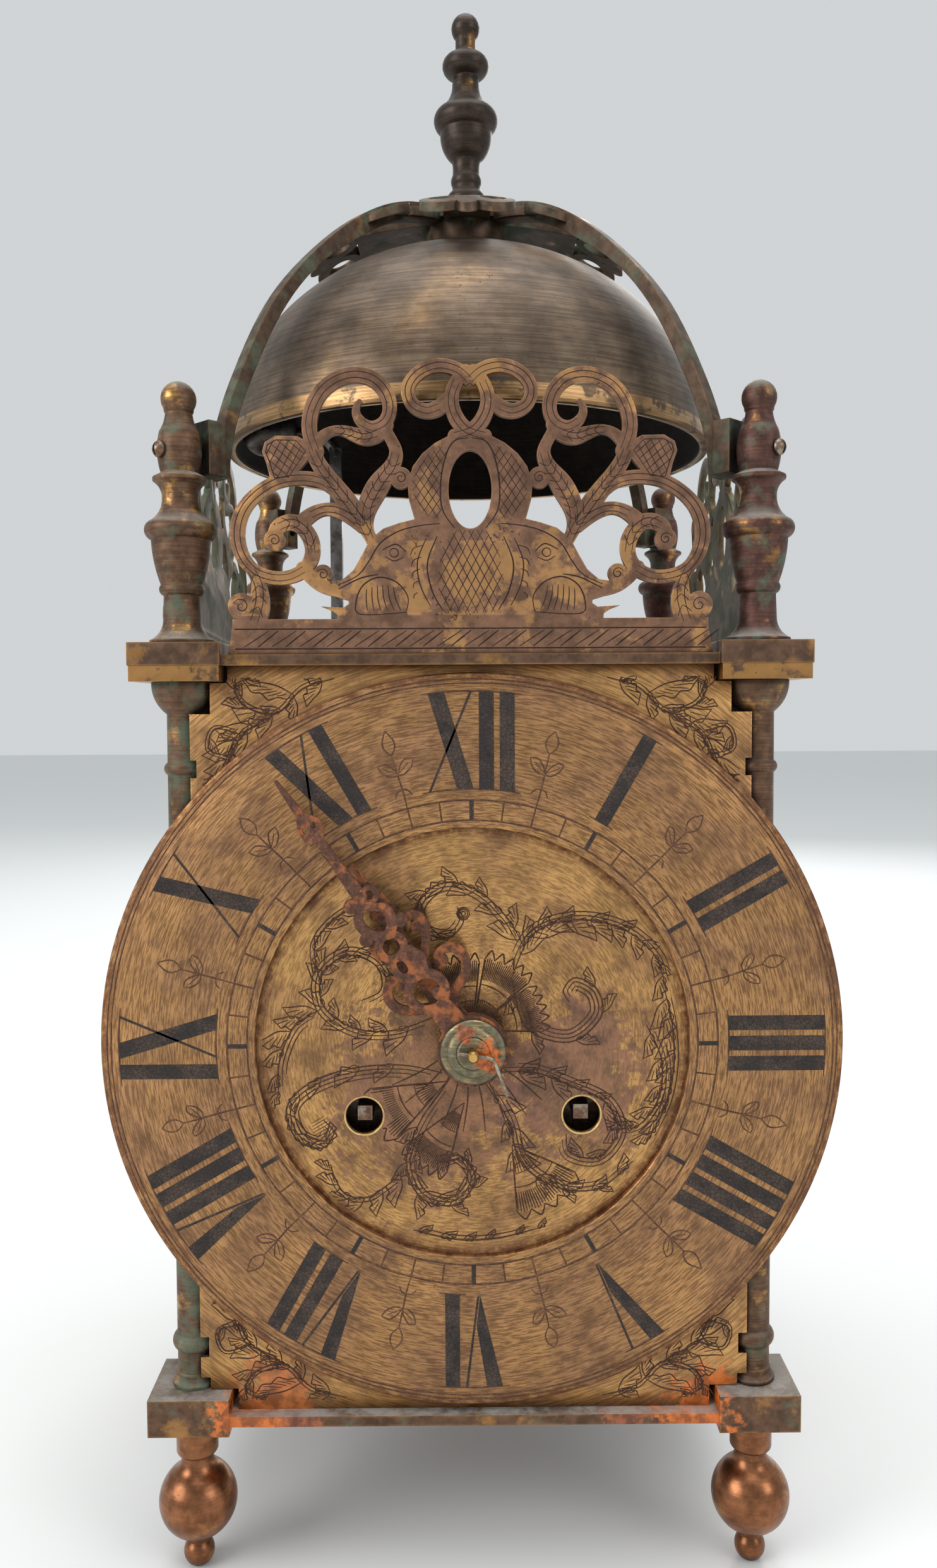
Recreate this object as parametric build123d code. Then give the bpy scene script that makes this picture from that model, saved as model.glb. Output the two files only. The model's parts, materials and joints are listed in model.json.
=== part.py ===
"""Brass lantern clock with a wound two-train movement, in millimetres.

X runs to the right, Y runs into the depth (the dial faces -Y) and Z runs up from the tips of the feet.
Depths inside the movement are measured backward from the back of the dial plate.
"""

from math import atan2, cos, degrees, hypot, pi, radians, sin, sqrt
import os

from build123d import *

# ---- case ----
PILLAR_PITCH = 132.0  # between pillar axes, across and in depth
PILLAR_LENGTH = 165.1  # from base block to top block
FOOT_HEIGHT = 36.4
BASE_BLOCK_SIDE = 18.8
BASE_BLOCK_HEIGHT = 8.7
TOP_BLOCK_SIDE = 20.6
TOP_BLOCK_STEP = 0.25  # the lower part of a top block is this much smaller all round
TOP_BLOCK_DROP = 3.5  # under the top plate
TOP_BLOCK_RISE = 2.7  # over the top plate
PLATE_THICK = 2.5
PLATE_LIFT = 1.5  # from the bottom of the base blocks to the base plate
PLATE_MARGIN = 8.0  # of both plates beyond the pillar axes
SPIGOT_RADIUS = 2.5
SPIGOT_REACH = 5.8  # into foot and finial
FIT = 0.05  # radial clearance of a fixed or turning pin in its hole
GAP = 0.3  # between pieces that pass close to each other

# ---- pillars ----
SHAFT_LOW_RADIUS = 4.15
SHAFT_TOP_RADIUS = 3.95
LOW_KNOP_RADIUS = 5.25
LOW_KNOP_UP = 10.3  # its middle over the base block
LOW_KNOP_HEIGHT = 4.0
TOP_KNOP_RADIUS = 4.75
TOP_KNOP_DOWN = 19.8  # its middle under the top block
TOP_KNOP_HEIGHT = 2.8
CAPITAL_RADIUS = 7.25
CAPITAL_HEIGHT = 7.3

# ---- dial and hands ----
RING_RADIUS = 85.0
RING_BORE = 49.8
RING_THICK = 1.8
DIAL_THICK = 1.2
DIAL_SETBACK = 3.2  # front of the dial plate behind the plate edges
DIAL_HALF_WIDTH = 63.8
HOUR_HAND_LENGTH = 50.0
MINUTE_HAND_LENGTH = 75.0
HAND_THICK = 1.2
MINUTE_HAND_TURN = 324.5  # clockwise from twelve
HOUR_HAND_TURN = 327.2
BOSS_RADIUS = 8.0
WINDING_HOLE_RADIUS = 4.25
WINDING_ACROSS = 25.1  # of each winding hole from the middle of the dial
WINDING_BELOW = 17.0
SQUARE_SIDE = 3.45

# ---- bell, strap, frets ----
BELL_RADIUS = 66.5
BELL_HEIGHT = 55.5
BELL_WALL = 2.5
BELL_LIFT = 57.9  # rim over the top plate
SHANK_RADIUS = 3.0
HUB_RADIUS = 13.0
HUB_THICK = 2.9
HUB_BOSS_RADIUS = 11.5
HUB_LIFT = 7.0  # underside of the hub disc over the crown of the bell
ARM_WIDTH = 3.6
ARM_THICK = 3.2
ARM_SWELL = 1.2  # extra thickness over the rosette
STRAP_FOOT_DEEP = 4.6
STRAP_FOOT_WIDE = 8.0
ROSETTE_RADIUS = 43.5
ROSETTE_THICK = 2.4
FRET_THICK = 1.6
FRET_SETBACK = 0.6  # behind the plate edge
FRET_HALF_LENGTH = 54.3
PEAR_UP = 44.0  # widest level of a corner finial's upper bulb over its block
PEAR_RADIUS = 5.0

# ---- doors ----
DOOR_THICK = 1.5
DOOR_SETBACK = 5.0  # outer face behind the plate edges
DOOR_PINTLE_RADIUS = 1.2
DOOR_PINTLE_IN = 12.6  # from the pillar axis
KNOB_REACH = 8.0

# ---- movement: wheels (teeth, module) and depths behind the dial plate ----
FRONT_PLATE = (11.6, 13.6)
BACK_PLATE = (49.6, 51.6)
MOVEMENT_HALF_WIDTH = 50.0
MOVEMENT_TOP = 66.0  # over the dial centre
MOVEMENT_BOTTOM = 58.0  # under the dial centre
PIVOT_RADIUS = 0.8
DRUM_RADIUS = 20.5
DRUM_WALL = 1.5
GREAT_TEETH, GREAT_MODULE, LEAF_TEETH = 80, 0.55, 10
SECOND_TEETH, SECOND_MODULE, CENTRE_LEAVES = 48, 0.6, 12
CENTRE_TEETH, CENTRE_MODULE, THIRD_LEAVES = 80, 0.4, 8
THIRD_TEETH, THIRD_MODULE, ESCAPE_LEAVES = 84, 0.35, 7
PIN_TEETH, PIN_MODULE, WARNING_LEAVES = 64, 0.5, 8
WARNING_TEETH, WARNING_MODULE, FLY_LEAVES = 60, 0.45, 6
CANNON_LEAVES, MINUTE_TEETH, MINUTE_MODULE = 12, 36, 0.5
MINUTE_LEAVES, HOUR_TEETH, HOUR_MODULE = 10, 40, 0.48
ESCAPE_TEETH = 42
ESCAPE_RADIUS = 14.0
PIN_CIRCLE = 14.4
PIN_RADIUS = 0.8
TAIL_GAP = 0.6  # between the hammer's tail and the pins' path
PALLET_HEIGHT = 58.0  # pallet arbor over the dial centre
PENDULUM_LENGTH = 127.0
BOB_RADIUS = 12.0
HAMMER_ACROSS = -36.0
HAMMER_UP = 27.0
STEM_HALF = 1.6

# ---- levels and planes that follow ----
AXIS_OUT = PILLAR_PITCH / 2
PLATE_OUT = AXIS_OUT + PLATE_MARGIN
BASE_PLATE_Z = FOOT_HEIGHT + PLATE_LIFT
BASE_TOP_Z = BASE_PLATE_Z + PLATE_THICK
PILLAR_Z = FOOT_HEIGHT + BASE_BLOCK_HEIGHT
CAPITAL_Z = PILLAR_Z + PILLAR_LENGTH
TOP_PLATE_Z = CAPITAL_Z + TOP_BLOCK_DROP
TOP_Z = TOP_PLATE_Z + PLATE_THICK
FINIAL_Z = TOP_Z + TOP_BLOCK_RISE
DIAL_Z = (BASE_TOP_Z + TOP_PLATE_Z) / 2
DIAL_FRONT_Y = -PLATE_OUT + DIAL_SETBACK
DIAL_BACK_Y = DIAL_FRONT_Y + DIAL_THICK
BELL_Z = TOP_Z + BELL_LIFT
CROWN_Z = BELL_Z + BELL_HEIGHT
HUB_Z = CROWN_Z + HUB_LIFT
DOOR_OUT = PLATE_OUT - DOOR_SETBACK
PINTLE_OUT = DOOR_OUT - DOOR_THICK / 2
PINTLE_ALONG = AXIS_OUT - DOOR_PINTLE_IN
CORNERS = {
    "front_left": (-AXIS_OUT, -AXIS_OUT),
    "front_right": (AXIS_OUT, -AXIS_OUT),
    "rear_left": (-AXIS_OUT, AXIS_OUT),
    "rear_right": (AXIS_OUT, AXIS_OUT),
}


# ---- shaping helpers ----
ROUND = "round"


def turned(profile):
    """Solid turned about Z from (radius, height) points. A point of four numbers is reached by an arc through
    its last two numbers, and a point marked ROUND by an arc centred on the axis."""
    edges = []
    here = profile[0]
    for point in profile[1:]:
        start, end = (here[0], 0, here[1]), (point[0], 0, point[1])
        if len(point) == 4:
            edges.append(ThreePointArc(start, (point[2], 0, point[3]), end))
        elif point[-1] == ROUND:
            edges.append(ThreePointArc(start, round_middle(here, point), end))
        else:
            edges.append(Line(start, end))
        here = point
    edges.append(Line((here[0], 0, here[1]), (profile[0][0], 0, profile[0][1])))
    return revolve(make_face(edges), Axis.Z)


def round_middle(start, end):
    """Middle of the arc between two profile points whose centre is on the axis."""
    centre = (start[0] ** 2 + start[1] ** 2 - end[0] ** 2 - end[1] ** 2) / (2 * (start[1] - end[1]))
    radius = hypot(start[0], start[1] - centre)
    angle = (atan2(start[1] - centre, start[0]) + atan2(end[1] - centre, end[0])) / 2
    return (radius * cos(angle), 0, centre + radius * sin(angle))


def raised(profile, height):
    """The same profile moved up by a height."""
    moved = []
    for point in profile:
        radius, level, *via = point
        if len(via) == 2:
            via = [via[0], via[1] + height]
        moved.append((radius, level + height, *via))
    return moved


def rod(radius, low, high):
    """Upright cylinder on the Z axis."""
    return Pos(0, 0, low) * Cylinder(radius, high - low, align=(Align.CENTER, Align.CENTER, Align.MIN))


def box(x, y, z):
    """Block between pairs of limits."""
    return Pos(x[0], y[0], z[0]) * Box(x[1] - x[0], y[1] - y[0], z[1] - z[0], align=(Align.MIN,) * 3)


def slab(outline, front, back):
    """Flat piece drawn as seen from the front, between two Y planes."""
    return extrude(Plane.XZ.offset(-back) * outline, back - front)


def inner(outline, front, back):
    """Flat piece of the movement: depths behind the dial plate, heights over the dial centre."""
    return Pos(0, DIAL_BACK_Y, DIAL_Z) * slab(outline, front, back)


def inner_rod(at, radius, front, back):
    """Round bar of the movement, lying front to back."""
    return inner(Pos(*at) * Circle(radius), front, back)


def inner_turned(profile, at=(0, 0)):
    """Turned piece of the movement, with (radius, depth) points."""
    return Pos(at[0], DIAL_BACK_Y, DIAL_Z + at[1]) * Rot(-90, 0, 0) * turned(profile)


def ribbon(points):
    """Flat strip of varying width along a smooth line through (x, y, width) points, with round ends."""
    left, right = [], []
    for i, (x, y, width) in enumerate(points):
        before, after = points[max(i - 1, 0)], points[min(i + 1, len(points) - 1)]
        along = Vector(after[0] - before[0], after[1] - before[1]).normalized()
        side = Vector(-along.Y, along.X) * (width / 2)
        left.append(Vector(x, y) + side)
        right.append(Vector(x, y) - side)
    ends = []
    for near, far in ((1, 0), (-2, -1)):
        x, y, width = points[far]
        out = Vector(x - points[near][0], y - points[near][1]).normalized() * (width / 2)
        ends.append(Vector(x, y) + out)
    outline = [
        Spline(*left),
        ThreePointArc(left[-1], ends[1], right[-1]),
        Spline(*reversed(right)),
        ThreePointArc(right[0], ends[0], left[0]),
    ]
    return make_face(outline)


def dot(x, y, radius):
    return Pos(x, y) * Circle(radius)


def polygon(*points):
    return make_face(Polyline(*points, close=True))


def both_sides(sketch):
    return sketch + mirror(sketch, Plane.YZ)


# ---- gear helpers ----
def teeth_outline(teeth, module, turn, lean=0.42):
    """Straight-sided teeth with slack; turn is the direction of one tooth, in radians from +X."""
    pitch_radius = module * teeth / 2
    half = lean * pi / teeth
    corners = []
    for i in range(teeth):
        middle = turn + i * 2 * pi / teeth
        for radius, angle in (
            (pitch_radius - 1.2 * module, -1.45 * half),
            (pitch_radius + 0.8 * module, -0.45 * half),
            (pitch_radius + 0.8 * module, 0.45 * half),
            (pitch_radius - 1.2 * module, 1.45 * half),
        ):
            corners.append((radius * cos(middle + angle), radius * sin(middle + angle)))
    return polygon(*corners)


def crossed(outline, rim, hub, arm):
    """Wheel blank cut out to a rim and a hub joined by four arms."""
    arms = Rectangle(2 * rim + 1, arm) + Rectangle(arm, 2 * rim + 1)
    return (outline - Circle(rim)) + Circle(hub) + (arms & Circle(rim + 0.5))


def mesh_distance(first, second, module):
    return (first + second) * module / 2


def mesh_turn(at, teeth, turn, to, leaves):
    """Direction of a tooth of the second gear that leaves the first gear's teeth in its gaps."""
    line = atan2(to[1] - at[1], to[0] - at[0])
    return line + pi - (2 * pi / leaves) * (0.5 - (line - turn) * teeth / (2 * pi))


def step(at, distance, heading):
    """Point at a distance in a direction given in degrees from +X."""
    return (at[0] + distance * cos(radians(heading)), at[1] + distance * sin(radians(heading)))


def meet(a, reach_a, b, reach_b):
    """Point at one distance from a and at another from b, below the line from b to a."""
    apart = hypot(a[0] - b[0], a[1] - b[1])
    along = (reach_b**2 - reach_a**2 + apart**2) / (2 * apart)
    aside = sqrt(reach_b**2 - along**2)
    ux, uy = (a[0] - b[0]) / apart, (a[1] - b[1]) / apart
    return (b[0] + along * ux + aside * uy, b[1] + along * uy - aside * ux)


# ---- where the arbors stand, seen from the front, from the dial centre ----
CENTRE = (0.0, 0.0)
GOING = (WINDING_ACROSS, -WINDING_BELOW)
STRIKE = (-WINDING_ACROSS, -WINDING_BELOW)
GREAT_REACH = mesh_distance(GREAT_TEETH, LEAF_TEETH, GREAT_MODULE)
SECOND_REACH = mesh_distance(SECOND_TEETH, CENTRE_LEAVES, SECOND_MODULE)
SECOND = meet(GOING, GREAT_REACH, CENTRE, SECOND_REACH)
THIRD = step(CENTRE, mesh_distance(CENTRE_TEETH, THIRD_LEAVES, CENTRE_MODULE), 63.0)
ESCAPE_REACH = mesh_distance(THIRD_TEETH, ESCAPE_LEAVES, THIRD_MODULE)
ESCAPE = (0.0, THIRD[1] + sqrt(ESCAPE_REACH**2 - THIRD[0] ** 2))
PALLETS = (0.0, PALLET_HEIGHT)
PIN_WHEEL = step(STRIKE, GREAT_REACH, 101.0)
WARNING = step(PIN_WHEEL, mesh_distance(PIN_TEETH, WARNING_LEAVES, PIN_MODULE), 53.0)
FLY = step(WARNING, mesh_distance(WARNING_TEETH, FLY_LEAVES, WARNING_MODULE), 92.7)
MINUTE = (0.0, -mesh_distance(CANNON_LEAVES, MINUTE_TEETH, MINUTE_MODULE))
HAMMER = (HAMMER_ACROSS, HAMMER_UP)
MOVEMENT_CORNERS = [(x, z) for x in (-45.0, 45.0) for z in (-52.0, 60.0)]
DIAL_FEET = [(x, z) for x in (-40.0, 40.0) for z in (-45.0, 48.0)]
STRAP_FOOT_RADIAL = AXIS_OUT * sqrt(2) - PEAR_RADIUS - 0.24
STRAP_FOOT_Z = (FINIAL_Z + 38.9, FINIAL_Z + 51.1)
STRAP_SCREW_Z = FINIAL_Z + PEAR_UP - 0.5


# ---- case ----
def corner_block(side, low, high):
    half = side / 2
    return box((-half, half), (-half, half), (low, high))


def base_plate():
    part = box((-PLATE_OUT, PLATE_OUT), (-PLATE_OUT, PLATE_OUT), (BASE_PLATE_Z, BASE_TOP_Z))
    for x, y in CORNERS.values():
        part += Pos(x, y) * corner_block(BASE_BLOCK_SIDE, FOOT_HEIGHT, PILLAR_Z)
    return part - pillar_holes() - pintle_holes()


def top_plate():
    part = box((-PLATE_OUT, PLATE_OUT), (-PLATE_OUT, PLATE_OUT), (TOP_PLATE_Z, TOP_Z))
    for x, y in CORNERS.values():
        part += Pos(x, y) * corner_block(TOP_BLOCK_SIDE, TOP_PLATE_Z, FINIAL_Z)
        part += Pos(x, y) * corner_block(TOP_BLOCK_SIDE - 2 * TOP_BLOCK_STEP, CAPITAL_Z, TOP_PLATE_Z)
    part -= pillar_holes() + pintle_holes() + fret_screw_holes()
    return part - hammer_slot()


def pillar_holes():
    hole = rod(SPIGOT_RADIUS + FIT, FOOT_HEIGHT - 1, FINIAL_Z + 1)
    return Part() + [Pos(x, y) * hole for x, y in CORNERS.values()]


def pintle_holes():
    hole = rod(DOOR_PINTLE_RADIUS + FIT, BASE_PLATE_Z - 1, TOP_Z + 1)
    places = ((PINTLE_OUT, PINTLE_ALONG), (-PINTLE_OUT, PINTLE_ALONG), (PINTLE_ALONG, PINTLE_OUT))
    return Part() + [Pos(x, y) * hole for x, y in places]


def hammer_slot():
    """Slot that lets the hammer's stem rock to the right."""
    rise = TOP_Z - DIAL_Z - HAMMER_UP
    left = HAMMER_ACROSS - STEM_HALF - 1.0
    right = HAMMER_ACROSS + STEM_HALF + 1.0 + rise * sin(radians(8.0))
    y = DIAL_BACK_Y + 59.1
    return box((left, right), (y - 2.0, y + 2.0), (TOP_PLATE_Z - 1, TOP_Z + 1))


def pillar():
    shaft_end = PILLAR_LENGTH - CAPITAL_HEIGHT
    low, low_half = LOW_KNOP_UP, LOW_KNOP_HEIGHT / 2
    top, top_half = PILLAR_LENGTH - TOP_KNOP_DOWN, TOP_KNOP_HEIGHT / 2
    spigot_up = FINIAL_Z + SPIGOT_REACH - PILLAR_Z
    profile = [
        (0, -BASE_BLOCK_HEIGHT - SPIGOT_REACH),
        (SPIGOT_RADIUS, -BASE_BLOCK_HEIGHT - SPIGOT_REACH),
        (SPIGOT_RADIUS, 0),
        (5.4, 0),
        (5.4, 0.8),
        (4.45, 2.8, 4.7, 1.5),
        (SHAFT_LOW_RADIUS, 3.2),
        (SHAFT_LOW_RADIUS, low - low_half),
        (SHAFT_LOW_RADIUS, low + low_half, LOW_KNOP_RADIUS, low),
        (SHAFT_TOP_RADIUS, top - top_half),
        (SHAFT_TOP_RADIUS, top + top_half, TOP_KNOP_RADIUS, top),
        (SHAFT_TOP_RADIUS - 0.05, shaft_end),
        (CAPITAL_RADIUS, PILLAR_LENGTH - 0.9, 6.1, shaft_end + 2.5),
        (CAPITAL_RADIUS, PILLAR_LENGTH),
        (SPIGOT_RADIUS, PILLAR_LENGTH),
        (SPIGOT_RADIUS, spigot_up),
        (0, spigot_up),
    ]
    return turned(raised(profile, PILLAR_Z))


def foot():
    """Flange, ball and tip, turned downward from the base block."""
    profile = [
        (0, FOOT_HEIGHT),
        (4.9, FOOT_HEIGHT),
        (4.9, FOOT_HEIGHT - 7.9),
        (3.6, FOOT_HEIGHT - 8.8, 4.5, FOOT_HEIGHT - 8.6),
        (3.6, FOOT_HEIGHT - 9.4),
        (5.95, FOOT_HEIGHT - 13.18, 4.3, FOOT_HEIGHT - 11.6),
        (2.55, FOOT_HEIGHT - 29.04, ROUND),
        (2.5, FOOT_HEIGHT - 30.4),
        (1.4, 0, ROUND),
        (0, 0),
    ]
    return turned(profile) - rod(SPIGOT_RADIUS + FIT, FOOT_HEIGHT - SPIGOT_REACH - 0.1, FOOT_HEIGHT + 1)


def finial():
    profile = [
        (0, 0),
        (7.5, 0),
        (7.5, 0.9),
        (4.35, 5.2, 5.3, 2.6),
        (4.1, 11.0),
        (4.7, 13.5, 5.1, 12.3),
        (6.7, 23.6, 6.2, 19.0),
        (6.7, 28.0, 8.2, 25.8),
        (4.1, 33.0, 4.75, 30.2),
        (6.15, 36.9, 4.65, 35.4),
        (6.15, 37.7),
        (4.25, 38.7),
        (4.45, 48.0, PEAR_RADIUS, PEAR_UP - 0.5),
        (3.05, 52.2, 3.5, 50.0),
        (3.3, 52.4),
        (3.4, 53.2),
        (0, 59.3, ROUND),
    ]
    part = turned(raised(profile, FINIAL_Z))
    return part - rod(SPIGOT_RADIUS + FIT, FINIAL_Z - 1, FINIAL_Z + SPIGOT_REACH + 0.1)


def drilled_finial(x, y):
    """Finial at a corner, drilled through toward the clock's axis for the strap screw."""
    hole = Pos(x, y, STRAP_SCREW_Z) * Rot(
        0, 0, degrees(atan2(y, x)),
    ) * Rot(0, 90, 0) * rod(1.2 + FIT, -9, 9)
    return Pos(x, y) * finial() - hole


# ---- bell and its strap ----
def bell():
    """Half-ellipse bowl, mouth down."""
    outside = Plane.XZ * EllipticalCenterArc((0, 0), BELL_RADIUS, BELL_HEIGHT, 0, arc_size=90)
    inside = Plane.XZ * EllipticalCenterArc(
        (0, 0), BELL_RADIUS - BELL_WALL, BELL_HEIGHT - BELL_WALL, 0, arc_size=90,
    )
    rim = Line((BELL_RADIUS - BELL_WALL, 0, 0), (BELL_RADIUS, 0, 0))
    crown = Line((0, 0, BELL_HEIGHT - BELL_WALL), (0, 0, BELL_HEIGHT))
    bowl = revolve(make_face([outside, crown, inside, rim]), Axis.Z)
    return Pos(0, 0, BELL_Z) * bowl - rod(SHANK_RADIUS + 2 * FIT, CROWN_Z - 9, CROWN_Z + 1)


def diagonal(part, quarter):
    return Rot(0, 0, 45 + 90 * quarter) * part


def strap_arm():
    """One arm in the X direction: out from the hub and down in a round shoulder to its foot."""
    foot_in = STRAP_FOOT_RADIAL - STRAP_FOOT_DEEP
    end, bottom = foot_in - 0.9, STRAP_FOOT_Z[0] + 1.2
    start, top = 9.0, HUB_Z + 0.9
    shape = [(0.0, 1.0), (0.15, 0.985), (0.28, 0.944), (0.43, 0.859), (0.60, 0.731), (0.765, 0.553)]
    shape += [(0.895, 0.331), (0.975, 0.14), (1.0, 0.0)]
    line = []
    for u, v in shape:
        thick = ARM_THICK + ARM_SWELL if 0.1 < u < 0.5 else ARM_THICK
        line.append((start + u * (end - start), bottom + v * (top - bottom), thick))
    arm = extrude(Plane.XZ * ribbon(line), ARM_WIDTH / 2, both=True)
    half = STRAP_FOOT_WIDE / 2
    return arm + box((foot_in, STRAP_FOOT_RADIAL), (-half, half), STRAP_FOOT_Z)


def rosette():
    """Pierced leaf plate that follows the bell's crown: four lobes on the axes, four rings on the arms."""
    drop = BELL_HEIGHT * (1 - sqrt(1 - (ROSETTE_RADIUS / BELL_RADIUS) ** 2))
    inside, outside = 9.0, ROSETTE_RADIUS + 3
    levels = (HUB_Z + 1.9, HUB_Z - 1.6, HUB_Z + 1.7 - drop)
    top = [(inside, 0, levels[0]), (28.0, 0, levels[1]), (outside, 0, levels[2])]
    under = [(x, y, z - ROSETTE_THICK) for x, y, z in top]
    shell = [ThreePointArc(*top), Line(top[2], under[2]), ThreePointArc(*under), Line(under[0], top[0])]
    tip = ROSETTE_RADIUS
    lobe = polygon((5, -6), (20, -6.4), (30, -9.5), (30, 9.5), (20, 6.4), (5, 6))
    lobe += dot(tip - 7.6, 5.9, 6.1) + dot(tip - 7.6, -5.9, 6.1) + dot(tip - 2.6, 0, 2.6)
    lobe -= dot(tip - 8.0, 6.3, 3.4) + dot(tip - 8.0, -6.3, 3.4)
    ring = Pos(16, 0) * Rectangle(20, 4.8) + dot(31, 0, 7.0)
    plan = Sketch() + [Rot(0, 0, 90 * q) * lobe for q in range(4)] + [Rot(
        0, 0, 45 + 90 * q,
    ) * ring for q in range(4)]
    plan -= Sketch() + [Rot(0, 0, 45 + 90 * q) * dot(31, 0, 4.2) for q in range(4)]
    column = extrude(Pos(0, 0, CROWN_Z - 30) * plan, 60)
    return revolve(make_face(shell), Axis.Z) & column


def bell_strap():
    hub = turned(
        [
            (0, CROWN_Z + GAP),
            (HUB_BOSS_RADIUS - 1.5, CROWN_Z + GAP),
            (HUB_BOSS_RADIUS, CROWN_Z + GAP + 1.5, HUB_BOSS_RADIUS - 0.4, CROWN_Z + GAP + 0.4),
            (HUB_BOSS_RADIUS, HUB_Z),
            (HUB_RADIUS, HUB_Z),
            (HUB_RADIUS, HUB_Z + HUB_THICK - 0.6),
            (HUB_RADIUS - 0.8, HUB_Z + HUB_THICK),
            (0, HUB_Z + HUB_THICK),
        ]
    )
    part = hub + rosette() + [diagonal(strap_arm(), q) for q in range(4)]
    part -= rod(SHANK_RADIUS + FIT, CROWN_Z - 1, HUB_Z + HUB_THICK + 1)
    drill = Pos(0, 0, STRAP_SCREW_Z) * Rot(0, 90, 0) * rod(
        1.2 + FIT, STRAP_FOOT_RADIAL - 8, STRAP_FOOT_RADIAL + 1,
    )
    return part - [diagonal(drill, q) for q in range(4)]


def strap_screws():
    """Four slotted dome-head screws, each through a corner finial into the strap's foot."""
    out = STRAP_FOOT_RADIAL + 0.24 + 2 * PEAR_RADIUS + 0.05
    screw = turned([(0, -14.3), (1.2, -14.3), (1.2, 0), (1.9, 0), (1.9, 0.5), (0, 1.7, ROUND)])
    screw -= box((-2.5, 2.5), (-0.3, 0.3), (1.0, 2.5))
    lying = Pos(out, 0, STRAP_SCREW_Z) * Rot(0, 90, 0) * screw
    return Part() + [diagonal(lying, q) for q in range(4)]


def top_finial():
    """Turned finial over the strap; its shank holds strap and bell together."""
    profile = [
        (0, -17.0),
        (SHANK_RADIUS, -17.0),
        (SHANK_RADIUS, 0),
        (7.0, 0),
        (7.0, 0.7),
        (5.5, 5.35, 5.75, 2.8),
        (3.86, 7.9, 4.9, 7.0),
        (3.86, 9.2),
        (3.86, 12.0, 4.25, 10.6),
        (3.95, 15.9, 3.7, 14.0),
        (7.1, 23.8, 6.3, 19.0),
        (7.1, 30.0, 8.9, 26.7),
        (3.75, 36.8, 4.9, 32.4),
        (3.4, 38.0),
        (3.5, 38.6),
        (3.5, 44.6, 6.45, 41.5),
        (2.8, 46.5, 2.95, 45.6),
        (2.8, 48.9),
        (0, 55.55, ROUND),
    ]
    return turned(raised(profile, HUB_Z + HUB_THICK))


def bell_nut():
    """Hexagon nut inside the bell."""
    top = CROWN_Z - BELL_WALL - 0.45
    nut = Pos(0, 0, top - 4.5) * extrude(RegularPolygon(6.0, 6), 4.5)
    return nut - rod(SHANK_RADIUS + FIT, top - 5, top + 1)


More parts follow.
